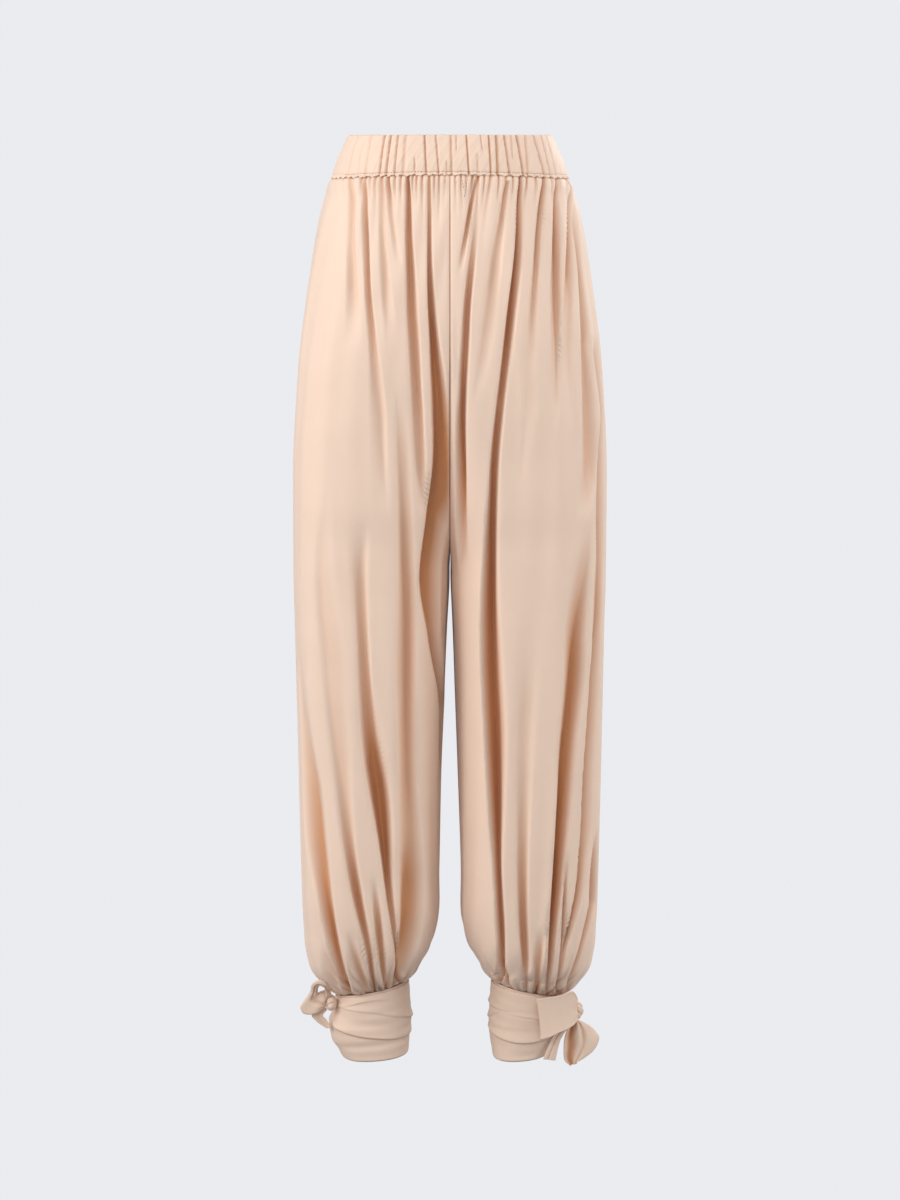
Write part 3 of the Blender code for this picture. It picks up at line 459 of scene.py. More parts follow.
TIE_EDGE_WIDTH = 0.9
# Painted shade below each lapping edge: how far below it lies, and how proud an edge is for full painted
# shade
TIE_SHADE_BELOW = 1.2
TIE_FULL_SHADE = 5
TIE_END_TUCK = 0.8
TIE_END_SHARE = 0.02
# How the tie's edges wander round the ankle: height, waves in a turn and start
TIE_WANDER = ((0.7, 2, 1), (0.4, 5, 0))
# Ripples of the wound tie: height, rate down the ankle and how they turn round it
TIE_RIPPLES = ((0.16, 0.5, 3), (0.12, 0.23, 4))
# Edges of the tie's turns, at eight even steps round the ankle: outer side, front of it,
# front, inner front, inner side, inner back, back and outer back. For each edge first the
# drops, then how far it stands proud, then how tall the swell above it is.
TIE_EDGES = {
    "right": (
        ((972, 970.5, 967, 972, 977, 975, 972, 972), (1.4, 1.3, 0.9, 0.4, 0.3, 0.7, 1.1, 1.3), 9),
        ((970, 973, 981, 990, 996, 992, 984, 975), (1.0, 1.2, 0.9, 1.3, 2.2, 1.6, 1.1, 1.0), 12),
        ((992, 1001, 1011, 1014, 1013, 1010, 1003, 996), (2.2, 2.2, 2.3, 2.0, 1.5, 1.3, 1.4, 1.8), 22),
    ),
    "left": (
        ((974, 978, 980, 982, 981, 979, 978, 976), (1.0, 0.3, 0.3, 0.9, 2.2, 1.5, 1.0, 1.0), 9),
        ((985, 989, 987, 985, 996, 994, 989, 986), (1.0, 0.7, 1.1, 0.3, 2.0, 1.5, 1.0, 1.0), 9),
        ((1000, 1008, 1017, 1012, 1006, 1006, 1004, 1001), (2.2, 2.3, 2.3, 2.0, 1.5, 1.3, 1.4, 1.8), 22),
    ),
}
# Soft hollows of the wrap, by their drop at the same steps, depth and half height
TIE_HOLLOWS = {
    "right": (
        ((1027, 1023, 1020, 1018, 1020, 1022, 1024, 1026), 0.9, 4.5),
        ((982, 987, 995, 1003, 1006, 1003, 996, 988), 0.6, 5.0),
    ),
    "left": (
        ((1000, 1003, 1003, 1003, 1001, 1000, 1000, 1000), 0.8, 4.0),
        ((1018, 1025, 1030, 1024, 1020, 1018, 1017, 1016), 0.6, 5.0),
    ),
}

# Knots, loops and tails
KNOT_COLUMNS = ("turn", "drop", "outwards", "along", "upwards", "stand")
KNOTS = {"right": (26, 973, 7, 9, 9.5, 2.6), "left": (20, 983, 11, 10, 12, 1.6)}
# A knot's creases: depth, place and width along its slope, which rises and turns
KNOT_GROOVES = ((1, 0.38, 0.10), (0.8, -0.42, 0.11))
KNOT_SLOPE = (0.85, 0.5)
KNOT_GROOVE_DEPTH = 0.15
KNOT_GROOVE_START = 0.3
KNOT_PLEAT = 0.03
KNOT_PLEAT_RATE = 11
KNOT_WAIST = 0.14
KNOT_SEGMENTS = 56
KNOT_RINGS = 36
STRIP_GRID = (80, 33)
STRIP_PINCH = 0.1
# Painted shade at the pinch by the knot
STRIP_PINCH_SHADE = 0.35
STRIP_OPENS = 0.1
STRIP_RIDGE = 0.7
STRIP_RIDGES = 4.5
# A strip's sway: height, then rate and start along it and across it
STRIP_SWAY = 0.3
STRIP_SWAYS = ((9, 1), (3, 0.5))
# Fold depth in full painted shade
STRIP_FULL_SHADE = 6
RIGHT_LOOP = (
    (2.4, -5, 7.7, -1.9, -4.4, 9.1),
    (5.5, -16, 20, 4, -20.5, 27.5),
    (11, -17, 24, 13, -22, 31.5),
    (14, -13, 20.5, 21, -15, 25.5),
    (14.5, -9, 15.5, 23.5, -8, 15.5),
    (13, -7, 14, 29.5, -5, 5.5),
    (8, -4, 16.5, 35, -5, -4),
    (4, -3.5, 16.5, 31, -5, -12),
    (3, -4.5, 11, 19, -6, -12),
    (5.7, -5.4, 0.5, 6.6, -3.3, -4.4),
)
RIGHT_TAIL = (
    (6.5, 0.5, -5.4, 4.1, 1.1, -8.9),
    (22, 0, -14, 9, 0, -15),
    (17, 0, -22, 5, -1, -20),
    (11, 0, -27, 1.5, -2, -25),
    (6, 0, -30.5, 0.5, -2.5, -30),
)
LEFT_LOOP = (
    (-3.5, -7.9, 7.6, -4.2, -9.8, -0.5),
    (-15.5, -19, 15.5, -14.5, -19, -10.5),
    (-29.5, -26, 17.5, -27, -25, -19),
    (-40.5, -30, 17.5, -36.5, -29, -25.5),
    (-45, -33, 20, -40, -32.5, -27.5),
    (-34.5, -36, 22.5, -29, -35.5, -24),
    (-20.5, -34.5, 24.5, -18, -34, -19),
    (-10, -30, 26.5, -8, -29.5, -15.5),
    (-2, -24, 27.5, -0.5, -23, -12),
    (3.5, -18, 19, 4, -17.5, -6.5),
    (1.7, -9.2, 7.4, 2.1, -11.1, -0.4),
)
LEFT_TAIL = (
    (-2.5, -4.8, -11.7, 5.8, -1.5, -11.7),
    (-8, -10, -20, 17.5, -3, -17),
    (-11.5, -12, -30, 25, -5, -23.5),
    (-12.5, -13, -44, 29, -7, -32),
    (-11.5, -12, -56, 22, -9, -46),
    (-4.5, -11, -63.5, 6, -11, -58),
)
LEFT_SHORT_TAIL = (
    (-5.5, -6.8, -7.7, 0, -6.8, -8.9),
    (-16, -18, -15, -6, -16, -16.5),
    (-25, -20, -26.5, -14, -18, -26),
    (-30.5, -20, -38, -18, -18, -37),
    (-36.5, -20, -53, -22, -18, -55),
)
# Shape of each strip: how far its middle stands out, then its lengthwise folds, each with
# its place across the strip at both ends, depth and half width
RIGHT_LOOP_SHAPE = (2.5, ((0.45, 0.5, 2.2, 0.08), (0.16, 0.14, 1.6, 0.07)))
RIGHT_TAIL_SHAPE = (1.5, ((0.4, 0.5, 1.2, 0.1),))
LEFT_LOOP_SHAPE = (1.5, ())
LEFT_TAIL_SHAPE = (2.0, ((0.22, 0.2, 5.5, 0.13), (0.62, 0.5, 2.0, 0.06)))
SHORT_TAIL_SHAPE = (1.0, ((0.5, 0.4, 1.5, 0.1),))
# Loops and tails: piece, node, side, points, tied ends, shape and flat size in metres
STRIPS = (
    ("bow_loop_right", "tie_loop_right", "right", RIGHT_LOOP, 2, RIGHT_LOOP_SHAPE, (0.1, 0.016)),
    ("bow_tail_right", "tie_tail_right", "right", RIGHT_TAIL, 1, RIGHT_TAIL_SHAPE, (0.03, 0.012)),
    ("bow_loop_left", "tie_loop_left", "left", LEFT_LOOP, 2, LEFT_LOOP_SHAPE, (0.11, 0.037)),
    ("bow_tail_left", "tie_tail_left", "left", LEFT_TAIL, 1, LEFT_TAIL_SHAPE, (0.06, 0.03)),
    ("bow_short_tail_left", "tie_short_tail_left", "left", LEFT_SHORT_TAIL, 1,
     SHORT_TAIL_SHAPE, (0.055, 0.013)),
)
# The sign of x on each side
SIDE_SIGN = {"right": -1, "left": 1}

# The photograph's view, and the studio
CAMERA_PLACE = (0.0, -4.5, 0.02)
CAMERA_TILT = math.radians(6.658)
CAMERA_LENS = 118.41
CAMERA_SENSOR = 36.0
CAMERA_FAR = 500
BACKDROP_COLOUR = (0.829, 0.836, 0.871)
FLOOR_HEIGHT = -1.12
FLOOR_SIZE = 400.0
FLOOR_COLOUR = (0.3, 0.3, 0.31, 1)
FLOOR_ROUGHNESS = 0.9
AMBIENT = {"Color": (0.95, 0.97, 1.0, 1), "Strength": 0.67}
LIGHT_TARGET = (0, 0, -0.35)
# Lights: place and size in metres, and power in watts
LIGHTS = (
    ("key", (-2.3, -1.9, 0.75), (1.0, 1.4), 22),
    ("front", (-0.6, -2.9, 1.0), (1.2, 1.2), 20),
    ("left", (-2.9, -0.9, 0.7), (1.0, 1.4), 29),
    ("right", (2.9, -0.7, 0.6), (1.2, 1.6), 33),
    ("back", (2.0, 2.5, 1.0), (1.2, 1.4), 34),
)

# Cloth colours, as linear light, and the colour of the painted shade in the folds
CLOTH_COLOUR = (0.86, 0.645, 0.505)
# Painted shade: the darker colour the cloth takes where folds, pleats and laps are deep
PAINTED_SHADE_COLOUR = (0.58, 0.24, 0.085)
CUFF_TONE = 0.92
THREAD_TONE = 0.4

# Surface of the crepe. Each noise has a scale and a detail.
CREPE_SURFACE = {
    "Roughness": 0.58,
    "Specular IOR Level": 0.32,
    "Sheen Roughness": 0.45,
    "Sheen Tint": (1.0, 0.93, 0.88, 1),
}
# How the painted fold shade turns into a share of the painted shade colour
PAINTED_SHADE_RANGE = {"From Min": 0.08, "From Max": 0.95, "To Max": 0.9}
PATCH_NOISE = (22, 3)
PATCH_RANGE = {"To Min": 0.965, "To Max": 1.03}
PEBBLE_NOISE = (1500, 2)
CRINKLE_NOISE = (260, 2)
CRINKLE_STRETCH = (1, 1, 0.18)
CREPE_BUMP = {"Strength": 0.35, "Distance": 0.0002}


def smooth(stations, values, at):
    """A smooth curve through the values at their stations, read at one or more places."""
    stations = np.asarray(stations, float)
    values = np.asarray(values, float)
    slopes = np.gradient(values, stations)
    at = np.clip(at, stations[0], stations[-1])
    low = np.clip(np.searchsorted(stations, at) - 1, 0, len(stations) - 2)
    span = stations[low + 1] - stations[low]
    t = (at - stations[low]) / span
    start = (2 * t**3 - 3 * t**2 + 1) * values[low] + (t**3 - 2 * t**2 + t) * span * slopes[low]
    end = (3 * t**2 - 2 * t**3) * values[low + 1] + (t**3 - t**2) * span * slopes[low + 1]
    return start + end


def read(table, columns, drop):
    """Every column of a table at one drop, by name."""
    rows = np.asarray(table, float)
    return {
        name: float(smooth(rows[:, 0], rows[:, number], drop))
        for number, name in enumerate(columns)
    }


def bulge(cosine, roundness=ROUNDNESS):
    """Round a cosine or sine out to the sections' fuller curve."""
    return np.sign(cosine) * np.abs(cosine) ** (2 / roundness)


def ease(share):
    """Rise smoothly from 0 to 1."""
    share = np.clip(share, 0, 1)
    return share * share * (3 - 2 * share)


def swell(distance, height, place, width):
    """A soft rise of some height, centred on a place."""
    return height * np.exp(-(((distance - place) / width) ** 2))


def unit(vectors):
    """Vectors scaled to length 1."""
    return vectors / np.linalg.norm(vectors, axis=-1, keepdims=True)


def lengths_along(x, y):
    """Distance along a row of points from its first one."""
    return np.concatenate(([0], np.cumsum(np.hypot(np.diff(x), np.diff(y)))))


def way_out(at, run, x, y, turned):
    """The way out of the cloth at some places along a row, as x and y."""
    out_x = turned * np.interp(at, run, np.gradient(y, run))
    out_y = -turned * np.interp(at, run, np.gradient(x, run))
    return out_x, out_y


def mirror(side):
    """The factors that carry the left leg's points to a side."""
    return np.array((SIDE_SIGN[side], 1, 1))


def leg_outline(drop, face):
    """Half of a leg's section, from its inner edge to its outer one: x, y and run."""
    size = read(SECTIONS, SECTION_COLUMNS, drop)
    roundness = float(np.interp(drop, *LEG_ROUNDNESS))
    start = 0.0
    inner_half = size["axis"] - size["inner"]
    if drop < CROTCH:
        crossing = max(size["axis"] - SEAM_GAP / 2, 0) / inner_half
        start = math.acos(min(crossing, 1) ** (roundness / 2))
    turn = np.linspace(start, math.pi, OUTLINE_SAMPLES)
    half = np.where(np.cos(turn) > 0, inner_half, size["outer"] - size["axis"])
    x = size["axis"] - half * bulge(np.cos(turn), roundness)
    depth = -size["front"] if face == "front" else size["back"]
    y = size["middle"] + depth * bulge(np.sin(turn), roundness)
    return np.maximum(x, 0), y, lengths_along(x, y), size


def seam_height(drop, slant, x):
    """Height of a row at x: the rows near the cuff slope down towards the outer side."""
    return -drop + slant * (SLANT_AXIS - x) / SLANT_HALF


def seam_arch(x):
    """How far the waist seam rises in front, most at the centre line."""
    return SEAM_ARCH * (1 - np.clip(np.abs(x) / WAIST_REACH, 0, 1) ** 2)


def crease(away, inner, outer, keenness):
    """A valley's profile: 1 at its bottom, 0 past its flanks. A long flank rises keenly."""
    reach = np.clip(np.abs(away) / np.where(away < 0, inner, outer), 0, 1)
    soft = (1 + np.cos(np.pi * reach**CREASE_FLATNESS)) / 2
    keen = (1 - reach) ** 2
    longer = (away < 0) == (inner > outer)
    share = np.where(longer, keenness, SHORT_FLANK_KEENNESS * keenness)
    return (1 - share) * soft + share * keen


def fold_shape(folds, drop, run, x):
    """What the folds do to one row: depth, and the lips' sideways shift and rise."""
    clear = FOLD_CLEAR * ease((drop - CROTCH) / FOLD_CLEAR_BLEND)
    depth = np.zeros_like(run)
    shift = np.zeros_like(run)
    rise = np.zeros_like(run)
    for fold in folds:
        if not fold[0][0] <= drop <= fold[-1][0]:
            continue
        row = read(fold, FOLD_COLUMNS, drop)
        deep = max(row["deep"], 0)
        away = run - max(np.interp(min(row["x"], FOLD_LIMIT * x.max()), x, run), clear)
        inner = row["inner"]
        outer = row["outer"]
        depth += (deep * crease(away, inner, outer, FOLD_KEENNESS)) ** FOLD_MERGE
        steep, gentle = sorted((inner, outer))
        side = -1 if inner < outer else 1
        lip = swell(away, 1, side * steep * LIP_PLACE, LIP_WIDTH * steep + LIP_LEAST_WIDTH)
        lip = lip * ease(gentle / steep - LIP_FROM_RATIO)
        shift -= side * lip * min(deep * LIP_SHIFT, LIP_REACH * steep)
        rise += lip * deep * LIP_RISE
    return depth ** (1 / FOLD_MERGE), shift, rise


def gathers_by_rule(rule, near, far, opens, seed):
    """Uneven gathers round a seam, from the turn where it opens to its outer side."""
    size = dict(zip(RULE_COLUMNS, rule))
    draw = np.random.default_rng(seed)
    count = size["count"]
    steps = np.arange(count) + draw.uniform(*GATHER_JITTER, count)
    turn = opens + (math.pi - opens) * steps / count
    half = (far - near) / 2
    start = near + half * (1 - np.cos(turn))
    end = start + draw.uniform(-GATHER_SWAY, GATHER_SWAY, count) * np.sin(turn)
    longer = draw.uniform(0, 1, count) ** GATHER_SHORTNESS
    return np.stack((
        start,
        end,
        size["short"] + (size["long"] - size["short"]) * longer,
        draw.uniform(size["shallow"], size["deep"], count),
        draw.uniform(size["narrow"], size["wide"], count),
    ), 1)


def gather_depth(gathers, distance, run, x):
    """Depth of a seam's gathers along a row at a distance from the seam."""
    depth = np.zeros_like(run)
    for gather in gathers:
        row = dict(zip(GATHER_COLUMNS, gather))
        if distance > row["reach"]:
            continue
        share = distance / row["reach"]
        deep = row["deep"] * (1 - share) ** GATHER_FADE
        place = np.interp(row["start"] + (row["end"] - row["start"]) * share, x, run)
        wide = row["wide"] * (1 + distance / GATHER_SPREAD)
        depth = np.maximum(depth, deep * crease(run - place, wide, wide, GATHER_KEENNESS))
    return depth


def make_drape(seed):
    """Long soft waves across and along a panel: rates, start and strength."""
    draw = np.random.default_rng(seed)
    return np.stack((
        2 * np.pi / draw.uniform(*DRAPE_ACROSS, DRAPE_WAVES),
        2 * np.pi / (draw.uniform(*DRAPE_ALONG, DRAPE_WAVES) * draw.choice((-1, 1), DRAPE_WAVES)),
        draw.uniform(0, 2 * np.pi, DRAPE_WAVES),
        draw.uniform(*DRAPE_STRENGTHS, DRAPE_WAVES),
    ), 1)


def drape_height(drape, drop, run):
    """Height of the soft waves along one row."""
    return sum(h * np.sin(a * run + b * drop + p) for a, b, p, h in drape) * DRAPE_HEIGHT


def panel_drops():
    """Rows of a panel, closest near its two seams and the crotch."""
    drop = BAND_SEAM + SEAM_GAP
    drops = [drop]
    while drop < CUFF_SEAM:
        near = min(drop - BAND_SEAM, CUFF_SEAM - drop) / ROW_BLEND
        near = min(near, abs(drop - CROTCH) / CROTCH_BLEND + ROW_LEAST)
        drop += ROW_FINE + (ROW_COARSE - ROW_FINE) * float(ease(near))
        drops.append(min(drop, CUFF_SEAM))
    if drops[-1] - drops[-2] < ROW_FINE / 2:
        drops.pop(-2)
    return np.array(drops)


def calm_row_lengths(drops, face):
    """Each row's length, evened out down the leg so that the columns run smoothly."""
    lengths = np.array([leg_outline(drop, face)[2][-1] for drop in drops])
    near_rows = np.exp(-(((drops[:, None] - drops[None, :]) / LENGTH_BLEND) ** 2))
    near_rows *= np.gradient(drops)[None, :]
    return near_rows @ lengths / near_rows.sum(1)


def spread_columns(drop, run, bumpy, calm_length, columns):
    """Places of a row's columns, closest where the cloth folds most."""
    from_outer = np.linspace(0, calm_length, OUTLINE_SAMPLES)
    bumpy = np.interp(run[-1] - from_outer, run, bumpy)
    weight = np.concatenate(([0], np.cumsum(1 + bumpy[1:] / CROWDING)))
    share = np.linspace(0, 1, columns + 1)
    away = np.interp(share, weight / weight[-1], from_outer)
    away += (run[-1] - calm_length) * np.clip((share - 1 + INNER_BLEND) / INNER_BLEND, 0, 1)
    at = (run[-1] - away)[::-1]
    if drop >= CROTCH:
        at = np.clip(at, EDGE_GAP, run[-1])
    return np.clip(at, 0, run[-1] - EDGE_GAP)


def seam_sink(drop, at, length, near):
    """How far a row sinks into the seams at its sides, and into the seam near it."""
    edge = np.minimum(at, length - at)
    sink = EDGE_ROLL * np.clip(1 - edge / EDGE_ROLL_WIDTH, 0, 1) ** 2
    if drop < CROTCH:
        lower = ease((drop - CENTRE_ROLL_START) / CENTRE_ROLL_BLEND)
        roll = CENTRE_ROLL * (CENTRE_ROLL_HIGH + (1 - CENTRE_ROLL_HIGH) * lower)
        sink += roll * np.clip(1 - at / CENTRE_ROLL_WIDTH, 0, 1) ** CENTRE_ROLL_CURVE
    return sink + SEAM_TUCK * np.clip(1 - near / SEAM_TUCK_WIDTH, 0, 1) ** 2


def shadow_tone(shadow, drop, at, run, x):
    """How dark the painted shadow on the cloth beyond an overhanging fold is, along one row."""
    if not shadow or not shadow[0][0] <= drop <= shadow[-1][0]:
        return 0 * at
    row = read(shadow, SHADOW_COLUMNS, drop)
    start = np.interp(min(row["x"], FOLD_LIMIT * x.max()), x, run)
    return row["tone"] * ease((at - start) / SHADOW_START) * (1 - ease((at - start) / SHADOW_END))


def panel_grid(face, folds, gathers, columns, seed, shadow=()):
    """Every outer point of a panel, and its painted shade, darker the deeper in a fold it lies."""
    waist, ankle = gathers
    drape = make_drape(seed)
    seam_x, _, seam_run, _ = leg_outline(CUFF_SEAM, face)
    points = []
    shade = []
    turned = 1 if face == "front" else -1
    tone = 1 if face == "front" else BACK_SHADE
    drops = panel_drops()
    for drop, calm_length in zip(drops, calm_row_lengths(drops, face)):
        x, y, run, size = leg_outline(drop, face)
        deep, shift, rise = fold_shape(folds, drop, run, x)
        above = drop - BAND_SEAM - SEAM_GAP
        below = CUFF_SEAM - drop
        near = min(above, below)
        # The ankle's gathers fan out with the leg
        fanned = np.interp(run / run[-1], seam_run / seam_run[-1], seam_x)
        fine = gather_depth(waist, above, run, x) + gather_depth(ankle, below, run, fanned)
        at = spread_columns(drop, run, deep + GATHER_CROWDING * fine, calm_length, columns)

        hold = SEAM_HOLD + (1 - SEAM_HOLD) * ease(near / SEAM_RELEASE)
        calm = ease(at / EDGE_CALM) * ease((run[-1] - at) / EDGE_CALM)
        valley = np.interp(at, run, deep) * hold
        small = np.interp(at, run, fine)
        push = np.interp(at, run, rise) * hold - valley - small
        push += drape_height(drape, drop, run[-1] - at) * ease(near / DRAPE_RELEASE)
        push += swell(above, *WAIST_PUFF) + swell(below, *ANKLE_PUFF)
        push = push * calm - seam_sink(drop, at, run[-1], near)

        moved = np.clip(at + np.interp(at, run, shift) * hold * calm, 0, run[-1])
        out_x, out_y = way_out(moved, run, x, y, turned)
        if drop < CROTCH:
            out_x = out_x * ease(at / EDGE_CALM)
        px = np.maximum(np.interp(moved, run, x) + out_x * push, 0)
        if drop < CROTCH:
            px[0] = 0
        py = np.interp(moved, run, y) + out_y * push
        height = seam_height(drop, size["slant"], px)
        if face == "front":
            height = height + seam_arch(px) * ease(1 - above / SEAM_ARCH_BLEND)
        points.append(np.stack((px, py, height), 1))
        # Painted shade: darker in deep folds and gathers, more so beside a seam, weaker on the back
        marked = FINE_SHADE + SEAM_SHADE * math.exp(-near / SEAM_SHADE_REACH)
        painted_shade = tone * np.clip((valley + marked * small) / FULL_SHADE_DEPTH, 0, 1)
        # The painted shadow beyond the left leg's outer fold, where it is darker than the painted shade
        shade.append(np.maximum(painted_shade, shadow_tone(shadow, drop, at, run, x)))
    return np.array(points), np.array(shade)


def add_piece(name, mesh):
    """A mesh as an object of the scene."""
    piece = bpy.data.objects.new(name, mesh)
    bpy.context.scene.collection.objects.link(piece)
    return piece


def add_grid(name, points, closed, wall, outward, shade=None):
    """A thin cloth shell through a grid of points, thickened towards its inside."""
    rows, columns = points.shape[:2]
    wrap = columns if closed else columns - 1
    faces = [
        (r * columns + c, r * columns + (c + 1) % columns,
         (r + 1) * columns + (c + 1) % columns, (r + 1) * columns + c)
        for r in range(rows - 1) for c in range(wrap)
    ]
    corner = points[rows // 2, columns // 3]
    down = points[rows // 2 + 1, columns // 3] - corner
    across = points[rows // 2, columns // 3 + 1] - corner
    if np.dot(np.cross(across, down), outward(corner)) < 0:
        faces = [face[::-1] for face in faces]
    mesh = bpy.data.meshes.new(name)
    mesh.from_pydata((points.reshape(-1, 3) * MM).tolist(), [], faces)
    mesh.shade_smooth()
    if shade is not None:
        # The painted fold shade, kept on the cloth for its material
        layer = mesh.attributes.new("painted_fold_shade", "FLOAT", "POINT")
        layer.data.foreach_set("value", shade.reshape(-1).astype(np.float32))
    piece = add_piece(name, mesh)
    shell = piece.modifiers.new("cloth_wall", "SOLIDIFY")
    shell.thickness = wall * MM
    shell.offset = -1
    return piece


def finish_piece(piece, node, material):
    """Give a piece its cloth and its place in the frame, and hide the frame's part that it stands in
    for, if any.
    """
    piece.data.materials.append(material)
    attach(piece, "root")
    if node:
        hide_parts(node)


def add_node(tree, kind, values=None):
    """A node with the values of its inputs."""
    node = tree.nodes.new(kind)
    for name, value in (values or {}).items():
        node.inputs[name].default_value = value
    return node


def add_noise(tree, coordinates, scale, detail):
    """Noise of a scale and detail over some coordinates."""
    noise = add_node(tree, "ShaderNodeTexNoise", {"Scale": scale, "Detail": detail})
    tree.links.new(coordinates, noise.inputs["Vector"])
    return noise.outputs["Fac"]


def add_range(tree, value, values):
    """A value mapped from one range to another."""
    mapped = add_node(tree, "ShaderNodeMapRange", values)
    tree.links.new(value, mapped.inputs["Value"])
    return mapped.outputs["Result"]


def make_cloth(name, tone, sheen):
    """Peach crepe: a fine pebbled surface, a faint sheen and painted shade in the folds."""
    material = bpy.data.materials.new(name)
    material.use_nodes = True
    tree = material.node_tree
    shader = tree.nodes["Principled BSDF"]
    for setting, value in CREPE_SURFACE.items():
        shader.inputs[setting].default_value = value
    shader.inputs["Sheen Weight"].default_value = sheen

    # Painted shade: the darker colour is mixed in by the painted fold shade on the cloth
    depth = add_node(tree, "ShaderNodeAttribute")
    depth.attribute_name = "painted_fold_shade"
    valley = add_node(tree, "ShaderNodeMix")
    valley.data_type = "RGBA"
    valley.inputs["A"].default_value = [c * tone for c in CLOTH_COLOUR] + [1]
    valley.inputs["B"].default_value = [c * tone for c in PAINTED_SHADE_COLOUR] + [1]
    tree.links.new(add_range(tree, depth.outputs["Fac"], PAINTED_SHADE_RANGE), valley.inputs["Factor"])

    place = add_node(tree, "ShaderNodeTexCoord").outputs["Object"]
    patches = add_noise(tree, place, *PATCH_NOISE)
    uneven = add_node(tree, "ShaderNodeMix")
    uneven.data_type = "RGBA"
    uneven.blend_type = "MULTIPLY"
    uneven.inputs["Factor"].default_value = 1
    tree.links.new(valley.outputs["Result"], uneven.inputs["A"])
    tree.links.new(add_range(tree, patches, PATCH_RANGE), uneven.inputs["B"])
    tree.links.new(uneven.outputs["Result"], shader.inputs["Base Color"])

    stretch = add_node(tree, "ShaderNodeMapping", {"Scale": CRINKLE_STRETCH})
    tree.links.new(place, stretch.inputs["Vector"])
    both = add_node(tree, "ShaderNodeMath")
    both.operation = "ADD"
    tree.links.new(add_noise(tree, place, *PEBBLE_NOISE), both.inputs[0])
    tree.links.new(add_noise(tree, stretch.outputs["Vector"], *CRINKLE_NOISE), both.inputs[1])
    bump = add_node(tree, "ShaderNodeBump", CREPE_BUMP)
    tree.links.new(both.outputs["Value"], bump.inputs["Height"])
    tree.links.new(bump.outputs["Normal"], shader.inputs["Normal"])
    return material


def add_panel(side, face, folds, gathers, columns, seed, material, shadow=()):
    """A leg panel, gathered at both ends."""
    points, shade = panel_grid(face, folds, gathers, columns, seed, shadow)
    out = np.array((0, -1 if face == "front" else 1, 0))
    piece = add_grid(
        f"{face}_leg_{side}", points * mirror(side), False, CLOTH_WALL, lambda point: out, shade)
    finish_piece(piece, f"{face}_panel_{side}", material)
    return piece


def band_pleats(face):
    """The pleats of one half of the waistband: listed in front, by rule behind."""
    if face == "front":
        return BAND_FRONT_PLEATS
    draw = np.random.default_rng(BACK_PLEAT_SEED)
    pleats = []
    for place in np.linspace(-1, 1, BACK_PLEATS):
        high = BACK_PLEAT_REACH * place + draw.uniform(-BACK_PLEAT_SWAY, BACK_PLEAT_SWAY)
        low = BACK_PLEAT_FLARE * high + draw.uniform(-BACK_PLEAT_LEAN, BACK_PLEAT_LEAN)
        flanks = draw.uniform(*BACK_PLEAT_FLANKS, 2)
        start = 0 if draw.uniform() < BACK_PLEATS_WHOLE else BACK_PLEAT_START
        pleats.append((high, low, draw.uniform(*BACK_PLEAT_DEPTHS), *flanks, start, 1))
    return pleats


def band_valley(pleats, level, at, run, x):
    """Depth of the pleats along one row of the waistband."""
    valley = np.zeros_like(at)
    for pleat in pleats:
        row = dict(zip(PLEAT_COLUMNS, pleat))
        place = row["high"] + (row["low"] - row["high"]) * level
        length = ease((level - row["start"]) / PLEAT_FADE + (row["start"] == 0))
        length *= ease((row["end"] - level) / PLEAT_FADE + (row["end"] == 1))
        away = at - np.interp(place, x, run)
        profile = crease(away, row["inner"], row["outer"], PLEAT_KEENNESS)
        valley = np.maximum(valley, PLEAT_GAIN * row["deep"] * length * profile)
    return valley


def band_push(level, above, at, length, valley, phases):
    """How far one row of the waistband stands out, with its groove and lip beside the seam."""
    (strong, rate), (weak, faster) = BAND_RIPPLES
    ripple = strong * np.sin(at * rate + phases[0]) + weak * np.sin(at * faster + phases[1])
    push = BAND_PUFF * np.sin(math.pi * level) + ripple - valley
    push *= ease(at / BAND_EDGE_CALM) * ease((length - at) / BAND_EDGE_CALM)
    least, sway, rate = BAND_LIP_UNEVEN
    push += swell(above, *BAND_LIP) * (least + sway * np.sin(at * rate + phases[2]))
    push -= swell(above, *BAND_GROOVE)
    push -= BAND_TUCK * np.clip(1 - above / BAND_TUCK_WIDTH, 0, 1) ** 2
    return push - BAND_ROLL * np.clip(1 - level / BAND_ROLL_SHARE, 0, 1) ** 2


def band_wave(level, above, at, valley, phases):
    """How a row of the waistband waves up and down, beside its seam and at its top."""
    wander = BAND_WANDER * np.sin(at * BAND_WANDER_RATE)
    beat = np.sin(at * BAND_BEAT_RATE + phases[3] + wander)
    beat += BAND_SECOND_BEAT * np.sin(at * BAND_SECOND_RATE + phases[0])
    crest = (1 - valley / BAND_CREST_DIP) * ease(1 - level / BAND_CREST_SHARE)
    return BAND_LIP_WAVE * beat * ease(1 - above / BAND_LIP_REACH) + BAND_TOP_WAVE * (crest - level)


